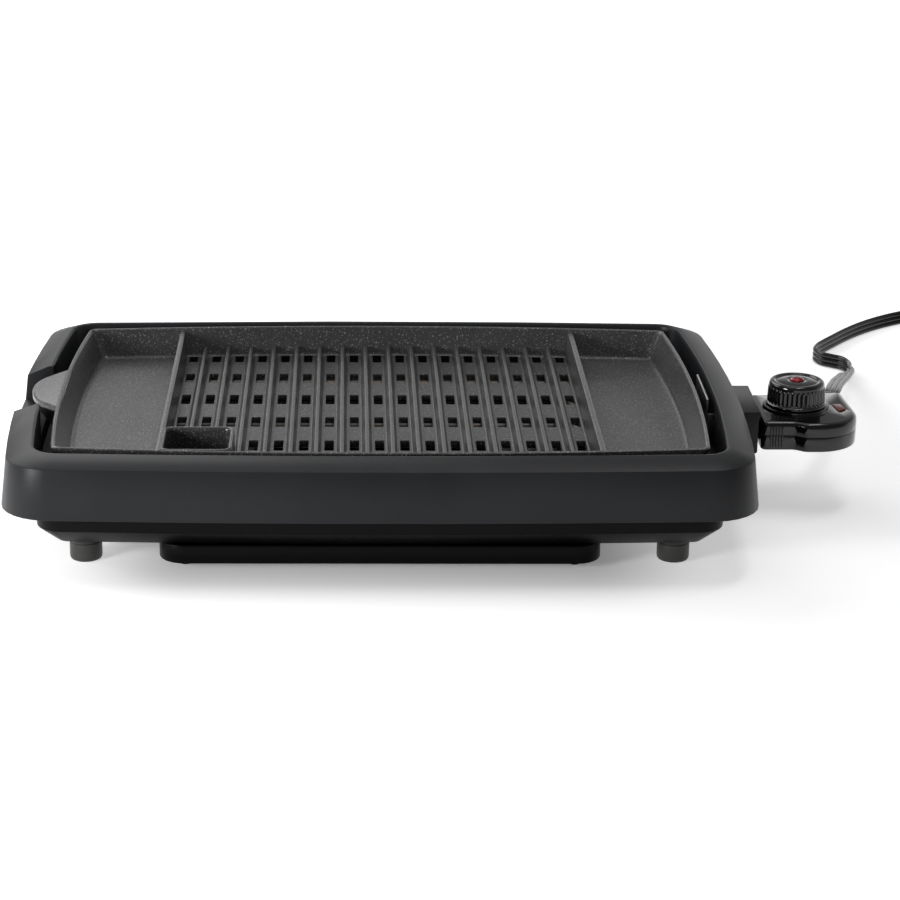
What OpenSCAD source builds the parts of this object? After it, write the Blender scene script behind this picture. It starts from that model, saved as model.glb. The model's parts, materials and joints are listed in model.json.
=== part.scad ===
// Electric tabletop grill: a moulded housing on four feet, a lift-out cast grill plate with two
// side pans, a tubular heating element on a reflector tray, a slide-out drip tray and a plug-in
// thermostat control with its knob and cord. Millimetres, +Z up, table at z = 0.

/* [Housing] */
// Width of the housing across its corners, at the foot of the skirt
housing_w = 475; // [455:1:500]
// Depth of the housing across its corners, at the foot of the skirt
housing_d = 327; // [315:1:345]
// How far each short side bows outward at its middle
side_bow = 9; // [4:0.5:12]
// How far each long side bows outward at its middle
end_bow = 6; // [2:0.5:9]
// Corner radius of the housing in plan
housing_r = 28; // [24:1:36]
// Height of the rim lip above the table
lip_z = 82.6; // [80:0.2:90]
// Drop of the sloping rim band from the lip to the break edge
band_drop = 5.6; // [3:0.2:8]
// Horizontal width of the sloping rim band
band_w = 14; // [10:0.5:16]
// Height of the foot of the skirt above the table
skirt_z = 44.5; // [40:0.5:48]
// How far the skirt leans in from its foot to the break edge
skirt_draft = 3.5; // [1:0.5:5]
// Wall thickness of the mouldings
wall = 2.5; // [2:0.1:3]
// Height of the underside of the inner ledge that the plate stands on
ledge_z = 46.5; // [45:0.5:48]
// Thickness of the inner ledge
ledge_t = 3; // [2.5:0.5:4]
// Width of the inner ledge
ledge_w = 39; // [34:1:44]

/* [Lift notch] */
// Height of the floor of the finger notch in the left rim
notch_z = 60; // [57:0.5:66]
// Half length of the finger notch
notch_half = 43; // [38:1:48]
// How much the notch narrows towards its outer face
notch_taper = 8; // [0:1:12]

/* [Control port] */
// Half width of the control port along the side wall
port_half = 20; // [17:0.5:22]
// Height of the top of the control port
port_top = 64.5; // [62:0.5:66]
// Half length of the hood over the control port
hood_half = 30; // [27:0.5:34]
// Height of the top of the hood
hood_z = 72.3; // [70:0.1:75]
// Thickness of the hood
hood_t = 4; // [3:0.5:5]
// Reach of the hood beyond the skirt foot at the middle of the side
hood_reach = 9.5; // [8:0.5:11]

/* [Base] */
// Height of the underside of the base pan
base_z = 18; // [16:0.5:22]
// Height where the chamfer of the base pan meets its wall
chamfer_z = 29.5; // [26:0.5:34]
// Width of the chamfer round the base pan
chamfer_w = 12.5; // [8:0.5:15]
// Clearance between parts that sit together
fit_gap = 0.3; // [0.2:0.05:0.4]
// Radial clearance of a turning shaft or a plugged contact
running_gap = 0.06; // [0.04:0.01:0.08]
// Distance from each short side of the housing to its feet
foot_in_x = 47.5; // [46:0.5:52]
// Distance from each long side of the housing to its feet
foot_in_y = 51.5; // [50:0.5:54]
// Radius of each foot
foot_r = 10.5; // [9:0.5:11.5]
// Radius of the foot screws
screw_r = 1.8; // [1.5:0.1:2]

/* [Grill plate] */
// Distance from each short side of the housing to the plate rim
rim_side = 29; // [27:0.5:33]
// Distance from each long side of the housing to the plate rim
rim_end = 30.5; // [28.5:0.5:34.5]
// How far each short side of the plate bows outward
plate_side_bow = 6.5; // [4:0.5:8]
// How far each long side of the plate bows outward
plate_end_bow = 10; // [6:0.5:11]
// Height of the plate rim above the table
plate_z = 82; // [80.5:0.5:85]
// Height of the pan floor above the table
floor_z = 62; // [60.5:0.5:65]
// Thickness of the pan floor
floor_t = 3.5; // [3:0.5:4.5]
// Thickness of the rim
rim_t = 3; // [2:0.5:4]
// How far the plate walls lean in from rim to floor
wall_lean = 8; // [5:0.5:10]
// Distance from the middle of the plate to each divider
divider_x = 141; // [125:1:150]
// Thickness of a divider at its top
divider_t = 4; // [3:0.5:6]
// Drop of the divider tops below the rim
divider_drop = 2.5; // [1:0.5:6]
// Number of bays between the grill ribs
bays = 17; // [13:1:19]
// Height of a grill rib above the floor
rib_h = 7; // [4:0.5:9]
// Width of a grill rib at its top
rib_t = 3; // [2:0.5:4]
// Number of rows of drain slots
slot_rows = 6; // [3:1:6]
// Distance between rows of drain slots
slot_pitch = 49; // [45:1:50]
// Length of a drain slot
slot_l = 20; // [14:1:24]
// Width of a drain slot
slot_w = 6; // [4:0.5:7]
// Width of the fenced pour opening at the front left of the grill
pour_w = 47; // [36:1:49]
// Depth of the fenced pour opening
pour_d = 40; // [30:1:44]
// Wall thickness of the pour fence
pour_t = 3.2; // [2:0.2:3.4]
// Reach of the lift lug beyond the plate rim
lug_reach = 19; // [14:0.5:20]
// Half length of the lift lug where it meets the rim
lug_half = 44; // [38:1:46]
// Thickness of the lift lug
lug_t = 5; // [4:0.5:7]

/* [Heating element] */
// Radius of the element tube
tube_r = 3.3; // [3:0.1:3.6]
// Half distance between the two terminals
terminal_half = 9.5; // [8.5:0.5:10.5]
// Distance from each short side of the plate rim to the ends of the element's long runs
element_in_x = 48.5; // [43.5:0.5:68.5]
// Distance from each long side of the plate rim to the outer runs
element_in_y = 49; // [47:0.5:55]
// Distance from the middle to the inner runs
element_inner_y = 44; // [40:1:48]
// Radius of a terminal pin
pin_r = 2.4; // [2:0.1:2.6]
// Length of a terminal pin beyond the end of the element tube
pin_l = 19; // [15:0.5:20]

/* [Reflector] */
// Distance from each short side of the plate rim to the reflector tray
reflector_in_x = 35.5; // [33.5:0.5:38.5]
// Distance from each long side of the plate rim to the reflector tray
reflector_in_y = 34; // [33:0.5:38]
// Height of the underside of the reflector
reflector_z = 38; // [34:0.5:40]
// Height of the reflector edge
reflector_h = 8; // [5:0.5:8]
// Sheet thickness of the reflector and brackets
sheet_t = 1.2; // [0.8:0.1:1.6]
// Width of the drip opening
drip_w = 180; // [120:1:200]
// Depth of the drip opening
drip_d = 46; // [30:1:54]

/* [Drip tray] */
// Width of the front of the drip tray
tray_front_w = 284; // [272:1:290]
// Width of the body of the drip tray
tray_w = 256; // [240:1:262]
// How far the front of the drip tray stands back from the front of the housing
tray_front_in = 26.5; // [23.5:0.5:31.5]
// How far the rear of the drip tray stands in from the rear of the housing
tray_rear_in = 43.5; // [39.5:1:51.5]
// Height of the underside of the drip tray
tray_z = 5; // [3:0.5:6]
// Depth of the front block of the drip tray
tray_block_d = 24; // [20:1:30]
// Corner radius of the front of the drip tray
tray_r = 17; // [10:0.5:20]
// Wall thickness of the drip tray
tray_t = 2; // [1.6:0.1:2.4]
// How far the tray flange stands out on each side
tray_flange = 6; // [4:0.5:7]

/* [Control] */
// Length of the control body from the hood outward
control_l = 67.5; // [62:0.5:74]
// Half depth of the control body at the hood
control_half = 31.5; // [29:0.5:35]
// Height of the top face of the control
control_top = 66; // [65:0.5:67]
// Height of the underside of the control
control_bottom_z = 46; // [44:0.5:47]
// Height of the parting line between the two covers
parting_z = 56.5; // [54:0.5:58]
// Wall thickness of the control covers
cover_t = 2; // [1.6:0.1:2.4]
// Length of the sensor rod
sensor_l = 60; // [52:1:64]
// Radius of the sensor rod
sensor_r = 2.8; // [2.4:0.1:3]
// Diameter of the knob at its foot
knob_d = 41; // [36:0.5:44]
// Height of the knob
knob_h = 17; // [13:0.5:20]
// Number of flutes round the knob
flutes = 36; // [24:2:48]

/* [Cord] */
// Width of the flat cord
cord_w = 11.5; // [9:0.5:12]
// Thickness of the flat cord
cord_t = 4.2; // [3.6:0.1:4.4]
// Radius of the first turn of the stored loop
coil_r = 62; // [58:1:70]
// Turns in the stored loop
coil_turns = 1.2; // [1.1:0.05:1.3]
// Step inward per turn of the stored loop
coil_step = 5.6; // [5.2:0.1:7]
// Radius of the bend that leads the cord end inside the loop
tail_r = 27; // [24:1:30]

/* [Hidden] */
$fn = 48;

corner_steps = 6;
long_steps = 12;
short_steps = 8;
break_z = lip_z - band_drop;
lip_in = skirt_draft + band_w + wall;
ledge_top = ledge_z + ledge_t;
floor_under = floor_z - floor_t;
plate_w = housing_w - 2 * rim_side;
plate_d = housing_d - 2 * rim_end;
element_half_x = plate_w / 2 - element_in_x;
element_outer_y = plate_d / 2 - element_in_y;
clip_x = 0.6 * element_half_x;
reflector_w = plate_w - 2 * reflector_in_x;
reflector_d = plate_d - 2 * reflector_in_y;
reflector_r = 14;
post_x = reflector_w / 2 - 24;
post_y = reflector_d / 2 - 29;
post_r = 5;
tray_front_y = housing_d / 2 - tray_front_in;
tray_rear_y = housing_d / 2 - tray_rear_in;
element_z = floor_under - fit_gap - tube_r;
notch_y = -3;
side_x = housing_w / 2 + side_bow;
hood_x = side_x + hood_reach;
inner_x = housing_w / 2 - lip_in + side_bow * (1 - lip_in / 150);
plate_side_x = plate_w / 2 + plate_side_bow;
guard_x = (inner_x + plate_side_x) / 2 - sheet_t / 2;
guard_top = plate_z - 1;
guard_half = port_half + 8;
tube_end_x = guard_x + sheet_t + 3;
foot_x = housing_w / 2 - foot_in_x;
foot_y = housing_d / 2 - foot_in_y;
control_x = hood_x + 1;
control_end = control_x + control_l;
nose_z = ledge_top + 0.5;
knob_x = control_x + 0.407 * control_l;
knob_y = 1;
control_y = 0;
end_slant = 3.4;
swell = 5;
flange_h = 2.5;
knob_z = control_top + flange_h + 0.4;
centre_x = (control_end - side_x) / 2;
lens_x = control_end - 10;
relief_x = control_x + 0.79 * control_l;
relief_r = 4.6;
relief_l = 24;
relief_z = parting_z - 1;
relief_y = control_y + control_half + swell;
relief_turn = 20;
relief_dir = [sin(relief_turn), cos(relief_turn), 0];
cord_from = [relief_x, relief_y, relief_z] + relief_l * relief_dir;

// Points of a quarter circle that starts at angle a0
function corner(cx, cy, r, a0) = [for (k = [0:corner_steps])
    let (a = a0 + 90 * k / corner_steps) [cx + r * cos(a), cy + r * sin(a)]];

// Points between p and q, without the ends
function between(p, q, n) = [for (k = [1:n - 1]) p + (q - p) * k / n];

// Rounded rectangle as points, counter-clockwise
function rounded(w, d, r) = let (a = w / 2 - r, b = d / 2 - r) concat(
    corner(a, b, r, 0), between([a, d / 2], [-a, d / 2], long_steps),
    corner(-a, b, r, 90), between([-w / 2, b], [-w / 2, -b], short_steps),
    corner(-a, -b, r, 180), between([-a, -d / 2], [a, -d / 2], long_steps),
    corner(a, -b, r, 270), between([w / 2, -b], [w / 2, b], short_steps));

// Bends the sides of a rectangle's outline outward by sb and eb at their middles
function bowed(points, w, d, sb, eb) = [for (p = points)
    [p.x * (1 + 2 * sb / w * (1 - pow(2 * p.y / d, 2))),
     p.y * (1 + 2 * eb / d * (1 - pow(2 * p.x / w, 2)))]];

// Outline of the housing, set in from the foot of its skirt
function housing_outline(inset) = let (
    w = housing_w - 2 * inset, d = housing_d - 2 * inset, ease = 1 - inset / 150)
    bowed(rounded(w, d, max(housing_r - 0.7 * inset, 5)), w, d, side_bow * ease, end_bow * ease);

// Outline of the plate, set in from its rim
function plate_outline(inset) = let (w = plate_w - 2 * inset, d = plate_d - 2 * inset)
    bowed(rounded(w, d, 4), w, d, plate_side_bow, plate_end_bow);

function raised(points, z) = [for (p = points) [p.x, p.y, z]];
function housing_ring(p) = raised(housing_outline(p[0]), p[1]);
function plate_ring(p) = raised(plate_outline(p[0]), p[1]);

// Skin over a stack of rings that share a count of points. A closed stack meets itself,
// as round a frame; an open one is capped at both ends.
module loft(rings, closed = false) {
    n = len(rings[0]);
    m = len(rings);
    strips = closed ? m : m - 1;
    skin = [for (j = [0:strips - 1], i = [0:n - 1])
        let (k = (i + 1) % n, up = (j + 1) % m)
        each [[j * n + i, up * n + k, j * n + k], [j * n + i, up * n + i, up * n + k]]];
    caps = closed ? [] : [[for (i = [0:n - 1]) i], [for (i = [n - 1:-1:0]) (m - 1) * n + i]];
    polyhedron(points = [for (r = rings) each r], faces = concat(skin, caps), convexity = 8);
}

// The origin is under the middle of the housing and control together
module placed() translate([-centre_x, 0, 0]) children();

module at_feet(z) for (x = [-foot_x, foot_x], y = [-foot_y, foot_y]) translate([x, y, z]) children();

// Where the reflector stands on the posts of the base
module at_posts(z) for (x = [-post_x, post_x], y = [-post_y, post_y]) translate([x, y, z]) children();

module both_sides() {
    children();
    mirror([0, 1, 0]) children();
}

// ---- Housing --------------------------------------------------------------------------------

// Plan of the finger notch: a little narrower at its outer face
module notch_plan(grow) {
    x0 = -inner_x + 4;
    polygon([
        [x0, notch_y + notch_half + grow], [x0 - 40, notch_y + notch_half - notch_taper + grow],
        [x0 - 40, notch_y - notch_half + notch_taper / 2 - grow], [x0, notch_y - notch_half - grow]
    ]);
}

// Frame of the housing without the hollow between its skirt and inner wall
module rim_core() {
    loft([for (p = [
        [0, skirt_z], [skirt_draft, break_z], [skirt_draft + band_w, lip_z],
        [lip_in, lip_z - 1], [lip_in, skirt_z]
    ]) housing_ring(p)], closed = true);
}

module housing_frame() {
    loft([for (p = [
        [0, skirt_z], [skirt_draft, break_z], [skirt_draft + band_w, lip_z],
        [lip_in - 0.6, lip_z - 0.3], [lip_in, lip_z - 1.4], [lip_in, ledge_top],
        [lip_in + ledge_w, ledge_top], [lip_in + ledge_w, ledge_z], [lip_in - wall, ledge_z],
        [lip_in - wall, lip_z - wall - 1], [skirt_draft + wall, break_z - wall], [wall, skirt_z]
    ]) housing_ring(p)], closed = true);
}

module port_block(grow) {
    translate([inner_x - 6, -port_half - grow, ledge_top - grow])
        cube([hood_x - inner_x + 12, 2 * (port_half + grow), port_top - ledge_top + 2 * grow]);
}

// Hood over the port: a roof with two cheeks that taper down the skirt
module hood() {
    root = side_x - skirt_draft - 2.5;
    translate([root, -hood_half, hood_z - hood_t]) cube([hood_x - root, 2 * hood_half, hood_t]);
    both_sides() translate([0, hood_half, 0]) rotate([90, 0, 0]) linear_extrude(wall)
        polygon([[root, hood_z - 1], [hood_x, hood_z - 1], [hood_x, hood_z - hood_t],
            [hood_x - 1, hood_z - hood_t - 1], [hood_x - 1, skirt_z], [hood_x - 1.6, skirt_z - 1.2],
            [hood_x - 4.5, skirt_z - 1.6], [root + 2, skirt_z]]);
}

module housing() placed() color("#2a2b2e") difference() {
    union() {
        housing_frame();
        intersection() {
            rim_core();
            union() {
                translate([0, 0, notch_z - wall]) linear_extrude(lip_z) notch_plan(wall);
                port_block(wall);
            }
        }
        hood();
        at_feet(base_z + wall) cylinder(r = 5.5, h = ledge_z - base_z - wall + 1);
    }
    translate([0, 0, notch_z]) linear_extrude(lip_z) notch_plan(0);
    port_block(0);
    at_feet(base_z) cylinder(r = screw_r + 0.05, h = 22);
}

// ---- Base -----------------------------------------------------------------------------------

// Guide rail for the drip tray's flange, in section across the tray
module rail_section() {
    inner = tray_w / 2 + 1;
    outer = tray_w / 2 + tray_flange + 1;
    polygon([[outer, base_z + 0.5], [outer + wall, base_z + 0.5], [outer + wall, base_z - 7.5],
        [inner, base_z - 7.5], [inner, base_z - 5], [outer, base_z - 5]]);
}

module rails() {
    back = tray_rear_y + fit_gap;
    front = tray_front_y - tray_block_d - 1;
    for (s = [0, 1]) mirror([s, 0, 0]) {
        translate([0, back, 0]) rotate([90, 0, 0]) linear_extrude(back + front) rail_section();
        translate([tray_w / 2 - 6, back, base_z - 7.5]) cube([tray_flange + 7 + wall, wall, 8]);
    }
}

module vents() for (s = [-1, 1], k = [0:2])
    translate([s * (tray_w / 2 + 22 + 12 * k) - 2, -24, base_z - 1]) cube([4, 48, wall + 2]);

module base_pan() placed() color("#1d1d1f") difference() {
    union() {
        loft([for (p = [
            [lip_in + chamfer_w, base_z], [lip_in, chamfer_z], [lip_in, ledge_z],
            [lip_in + wall, ledge_z], [lip_in + wall, chamfer_z + 1],
            [lip_in + chamfer_w + 1, base_z + wall]
        ]) housing_ring(p)]);
        rails();
        at_posts(base_z + 1) cylinder(r = post_r, h = reflector_z - base_z - 1);
    }
    translate([-drip_w / 2, -drip_d / 2, base_z - 1]) cube([drip_w, drip_d, wall + 2]);
    vents();
    at_feet(base_z - 1) cylinder(r = screw_r + 0.4, h = wall + 2);
    at_posts(reflector_z - 10) cylinder(r = 1.5, h = 11);
}

module foot(sx, sy) placed() color("#202022") translate([sx * foot_x, sy * foot_y, 0])
    rotate_extrude() polygon([
        [foot_r - 4, 0], [foot_r - 1.2, 0], [foot_r - 0.4, 0.5], [foot_r, 1.6],
        [foot_r, base_z], [screw_r + 0.4, base_z], [screw_r + 0.4, 8], [foot_r - 4, 8]
    ]);
module foot_front_left() foot(-1, -1);
module foot_front_right() foot(1, -1);
module foot_rear_left() foot(-1, 1);
module foot_rear_right() foot(1, 1);

module screw(r, l, head_r) {
    cylinder(r = r, h = l);
    translate([0, 0, -2.2]) cylinder(r1 = head_r - 0.7, r2 = head_r, h = 2.2);
}

module foot_screws() placed() color("#b0b2b5") at_feet(8)
    screw(screw_r, ledge_z - 16.5, foot_r - 5);

module reflector_plan(inset) polygon(
    rounded(reflector_w - 2 * inset, reflector_d - 2 * inset, reflector_r - inset));

module reflector() placed() color("#c9ccd0") difference() {
    translate([0, 0, reflector_z]) linear_extrude(reflector_h) reflector_plan(0);
    translate([0, 0, reflector_z + sheet_t]) linear_extrude(reflector_h) reflector_plan(sheet_t);
    translate([-drip_w / 2 + 6, -drip_d / 2 + 4, 0]) cube([drip_w - 12, drip_d - 8, lip_z]);
    at_posts(reflector_z - 1) cylinder(r = 1.8, h = 4);
}

module reflector_screws() placed() color("#b0b2b5")
    at_posts(reflector_z + sheet_t) mirror([0, 0, 1]) screw(1.4, 8, 3.4);

// ---- Heating element ------------------------------------------------------------------------

// Straight length of tube between x0 and x1 at a distance y
module run_x(x0, x1, y) translate([x0, y, 0]) rotate([0, 90, 0]) cylinder(r = tube_r, h = x1 - x0);

// Tube bend of radius r about a centre, from angle a0 through sweep degrees
module bend(cx, cy, r, a0, sweep) translate([cx, cy, 0]) rotate([0, 0, a0])
    rotate_extrude(angle = sweep) translate([r, 0]) circle(r = tube_r);

// Half of the element: terminal, outward jog, outer run, hairpin, inner run and middle run
module element_half() {
    jog_r = 12;
    hairpin_r = (element_outer_y - element_inner_y) / 2;
    mid_r = (element_inner_y - terminal_half) / 2;
    right = element_half_x + jog_r;
    inner_right = element_half_x - 40;
    run_x(right, tube_end_x, terminal_half);
    bend(right, terminal_half + jog_r, jog_r, 180, 90);
    translate([element_half_x, terminal_half + jog_r, 0]) rotate([-90, 0, 0])
        cylinder(r = tube_r, h = element_outer_y - terminal_half - 2 * jog_r);
    bend(element_half_x - jog_r, element_outer_y - jog_r, jog_r, 0, 90);
    run_x(-element_half_x + hairpin_r, element_half_x - jog_r, element_outer_y);
    bend(-element_half_x + hairpin_r, element_inner_y + hairpin_r, hairpin_r, 90, 180);
    run_x(-element_half_x + hairpin_r, inner_right, element_inner_y);
    bend(inner_right, terminal_half + mid_r, mid_r, -90, 180);
    run_x(-element_half_x + hairpin_r, inner_right, terminal_half);
    bend(-element_half_x + hairpin_r, 0, terminal_half, 90, 90);
}

module heating_element() placed() color("#6d6b69") translate([0, 0, element_z])
    both_sides() element_half();

module element_clips() placed() color("#c9ccd0")
    for (x = [-clip_x, clip_x], y = [-element_outer_y, -element_inner_y, element_inner_y, element_outer_y])
        difference() {
            translate([x - 3, y - tube_r - sheet_t, reflector_z + sheet_t])
                cube([6, 2 * (tube_r + sheet_t), element_z - reflector_z - sheet_t]);
            translate([x - 4, y, element_z]) rotate([0, 90, 0])
                cylinder(r = tube_r, h = 8);
        }

// Sheet guard that carries the element's cold ends in front of the port
module terminal_guard() placed() color("#c4c7cb") difference() {
    union() {
        translate([guard_x, -guard_half, ledge_top])
            cube([sheet_t, 2 * guard_half, guard_top - ledge_top]);
        both_sides() translate([guard_x, guard_half - sheet_t, ledge_top])
            cube([inner_x - guard_x - 0.5, sheet_t, port_top + 6 - ledge_top]);
        both_sides() translate([guard_x, port_half + 1, ledge_top])
            cube([inner_x - guard_x - 0.5, guard_half - port_half - 1, sheet_t]);
    }
    for (y = [-terminal_half, terminal_half]) translate([guard_x - 1, y, element_z])
        rotate([0, 90, 0]) cylinder(r = tube_r + 0.2, h = sheet_t + 2);
    translate([guard_x - 1, 0, element_z]) rotate([0, 90, 0]) cylinder(r = sensor_r + 1.6, h = sheet_t + 2);
}

module guard_rivets() placed() color("#b0b2b5") both_sides()
    translate([(guard_x + sheet_t + inner_x) / 2, port_half + 4, ledge_top + sheet_t])
        cylinder(r1 = 1.8, r2 = 1.2, h = 1.2);

// Ceramic beads that close the ends of the element tube round its pins
module terminal_insulators() placed() color("#e9e4d8")
    for (y = [-terminal_half, terminal_half]) translate([tube_end_x, y, element_z])
        rotate([0, 90, 0]) difference() {
            cylinder(r1 = tube_r, r2 = tube_r - 0.5, h = 3);
            translate([0, 0, -1]) cylinder(r = pin_r, h = 5);
        }

module terminal_pins() placed() color("#d4d6d8")
    for (y = [-terminal_half, terminal_half]) translate([tube_end_x, y, element_z])
        rotate([0, 90, 0]) {
            cylinder(r = pin_r, h = pin_l - 1);
            translate([0, 0, pin_l - 1]) cylinder(r1 = pin_r, r2 = pin_r - 1, h = 1);
        }

// Tube that steers the sensor rod under the plate
module sensor_guide() placed() color("#b9bcc0") translate([guard_x, 0, element_z])
    rotate([0, -90, 0]) difference() {
        cylinder(r = sensor_r + 1.6, h = 12);
        translate([0, 0, -1]) cylinder(r = sensor_r + 0.4, h = 14);
    }

// ---- Grill plate ----------------------------------------------------------------------------

floor_inset = rim_t + wall_lean;
bay = 2 * divider_x / bays;

// Solid bounded by the outer faces of the plate
module plate_body() loft([plate_ring([wall_lean, floor_under]), plate_ring([0.6, plate_z - 2]),
    plate_ring([0, plate_z])]);

// Bar along the plate's depth, t wide at its top and wider by lean on each side at its foot
module bar(x, t, h, lean) translate([x, plate_d, floor_z - 1]) rotate([90, 0, 0])
    linear_extrude(2 * plate_d)
        polygon([[-t / 2 - lean, 0], [t / 2 + lean, 0], [t / 2, h + 1], [-t / 2, h + 1]]);

// Fence of the pour opening, against the left divider and the front wall
pour_x = -divider_x + pour_w / 2;
pour_y = -plate_d / 2 + floor_inset + pour_d / 2;

module pour_plan(inset) translate([pour_x, pour_y - 4]) polygon(
    rounded(pour_w - 2 * inset, pour_d + 8 - 2 * inset, 7 - inset));

// Lug of the plate over the finger notch, with its gusset
lug_shape = [[-1, 0], [-0.8, 0.36], [-0.62, 0.68], [-0.4, 0.88], [-0.15, 0.98], [0.1, 1],
    [0.32, 0.92], [0.52, 0.74], [0.75, 0.42], [1, 0]];

module lug() {
    root = plate_side_x - 3;
    translate([-root, notch_y, plate_z - 1.5 - lug_t]) linear_extrude(lug_t) polygon(concat(
        [[0.5, -lug_half]], [for (p = lug_shape) [-p[1] * (lug_reach + 3), p[0] * lug_half]],
        [[0.5, lug_half]]));
    translate([-root - 2, -25, plate_z - 3 - lug_t]) rotate([90, 0, 0]) linear_extrude(5)
        polygon([[-14, 2], [2.5, 2], [6, -14], [2, -17]]);
}

module drain_slots() {
    first = -slot_pitch * (slot_rows - 1) / 2 + 4;
    for (k = [0:slot_rows - 1], i = [0:bays - 1]) {
        x = -divider_x + bay * (i + 0.5);
        y = first + slot_pitch * k;
        clear = x - slot_w / 2 > pour_x + pour_w / 2 || y - slot_l / 2 > pour_y + pour_d / 2;
        if (clear) translate([x - slot_w / 2, y - slot_l / 2, floor_under - 1])
            cube([slot_w, slot_l, floor_t + 2]);
    }
}

module grill_plate() placed() color("#3c3d3f") difference() {
    union() {
        difference() {
            plate_body();
            loft([plate_ring([floor_inset, floor_z]), plate_ring([rim_t, plate_z - 1]),
                plate_ring([rim_t - 1, plate_z + 0.1])]);
        }
        intersection() {
            plate_body();
            union() {
                for (x = [-divider_x, divider_x])
                    bar(x, divider_t, plate_z - divider_drop - floor_z, 1.5);
                for (i = [1:bays - 1]) bar(-divider_x + bay * i, rib_t, rib_h, 1.6);
                translate([0, 0, floor_z - 1])
                    linear_extrude(plate_z - divider_drop - floor_z + 1) pour_plan(0);
            }
        }
        at_feet(ledge_top) cylinder(r = 5, h = floor_under - ledge_top + 1);
        lug();
    }
    drain_slots();
    translate([0, 0, floor_under - 1]) linear_extrude(lip_z) intersection() {
        pour_plan(pour_t);
        translate([pour_x - pour_w, -plate_d / 2 + floor_inset - 2]) square([2 * pour_w, pour_d + 4]);
    }
}

// ---- Drip tray ------------------------------------------------------------------------------

// Plan of the tray: a wide front block with round corners and a narrower body behind it
module tray_plan(inset) {
    intersection() {
        translate([0, tray_block_d - tray_front_y]) polygon(
            rounded(tray_front_w - 2 * inset, 2 * (tray_block_d - inset), tray_r - inset));
        translate([-tray_front_w, -tray_front_y]) square([2 * tray_front_w, tray_block_d - inset]);
    }
    translate([-tray_w / 2 + inset, -tray_front_y + tray_r])
        square([tray_w - 2 * inset, tray_front_y + tray_rear_y - tray_r - inset]);
}

module drip_tray() placed() color("#1b1b1d") {
    top = base_z - 0.5;
    difference() {
        translate([0, 0, tray_z]) linear_extrude(top - tray_z) tray_plan(0);
        translate([0, 0, tray_z + tray_t]) linear_extrude(top) tray_plan(tray_t);
    }
    for (s = [0, 1]) mirror([s, 0, 0])
        translate([tray_w / 2 - 0.5, -tray_front_y + tray_block_d - 1, base_z - 4.9])
            cube([tray_flange + 0.5, tray_front_y + tray_rear_y - tray_block_d + 1, 2]);
    for (s = [-1, 1]) {
        translate([s * (tray_front_w / 2 - tray_r), -tray_front_y + 13, 1]) cylinder(r = 4, h = tray_z - 0.5);
        translate([s * (tray_w / 2 - 11), tray_rear_y - 12, 1]) cylinder(r = 4, h = tray_z - 0.5);
    }
}

// ---- Control --------------------------------------------------------------------------------

// Points of an arc round a centre, from angle a0 to a1
function arc(cx, cy, r, a0, a1, n) = [for (k = [0:n])
    [cx + r * cos(a0 + (a1 - a0) * k / n), cy + r * sin(a0 + (a1 - a0) * k / n)]];

// Plan of the control body: square at the hood, wider beyond the grip ribs, slanted and rounded
// at its outer end
function control_outline(inset) = let (
    x0 = control_x, x1 = control_end, h = control_half, wide = h + swell, y0 = control_y, r = 29,
    s = max(4 - inset, 0.3), big = r - inset,
    back_x = x1 - r + (r - 4) / cos(end_slant) - (2 * wide - r - 4) * tan(end_slant),
    ease = [for (k = [0:6]) [x0 + 21 + 1.7 * k, h - inset + swell * (1 - cos(30 * k)) / 2]],
    front = arc(x1 - r, y0 - wide + r, big, 270, 360 + end_slant, 14))
    concat(
        [front[14]], arc(back_x, y0 + wide - 4, s, end_slant, 90, 5),
        [for (k = [6:-1:0]) [ease[k].x, y0 + ease[k].y]],
        arc(x0 + 4, y0 + h - 4, s, 90, 180, 5), arc(x0 + 4, y0 - h + 4, s, 180, 270, 5),
        [for (p = ease) [p.x, y0 - p.y]], [for (k = [0:13]) front[k]]);

module control_outer() loft([for (p = [
    [1.4, control_bottom_z], [0.3, control_bottom_z + 0.6], [0, control_bottom_z + 1.8],
    [0, control_top - 3.2], [0.7, control_top - 1.3], [1.8, control_top - 0.4], [3.4, control_top]
]) raised(control_outline(p[0]), p[1])]);

module control_inner() loft([for (p = [
    [cover_t + 0.6, control_bottom_z + cover_t], [cover_t, control_bottom_z + cover_t + 1.5],
    [cover_t, control_top - 4.4], [cover_t + 1.6, control_top - cover_t]
]) raised(control_outline(p[0]), p[1])]);

// Nose that passes through the port
nose_x = inner_x + 1.5;
nose_t = 1;
nose_half = port_half - 1;
nose_top = port_top - 1;
module nose(inset, x0, x1) translate([x0, -nose_half + inset, nose_z + inset])
    cube([x1 - x0, 2 * (nose_half - inset), nose_top - nose_z - 2 * inset]);

module grip_ribs() for (i = [0:4])
    translate([control_x + 6.5 + 1.9 * i, control_y - control_half + 0.25, control_bottom_z + 2.5])
        cylinder(r = 0.7, h = control_top - control_bottom_z - 6);

module relief_hole() translate([relief_x, relief_y + 1, relief_z]) rotate([90, 0, 0])
    cylinder(r = relief_r + 0.1, h = cover_t + 4);

module at_control_screws(z) for (p = [[control_x + 8, -22], [control_x + 8, 22], [control_end - 15, -18]])
    translate([p.x, p.y, z]) children();

module control_shell(z0, z1) difference() {
    intersection() {
        union() {
            control_outer();
            nose(0, nose_x, control_x + 3);
            grip_ribs();
            translate([knob_x, knob_y, control_top - 1]) cylinder(d = knob_d + 4, h = flange_h + 1);
        }
        translate([nose_x - 10, -60, z0]) cube([120, 120, z1 - z0]);
    }
    difference() {
        union() {
            control_inner();
            nose(nose_t, nose_x - 1, control_x + 6);
        }
        at_control_screws(z0) cylinder(r = 3.6, h = z1 - z0);
    }
    relief_hole();
}

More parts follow.
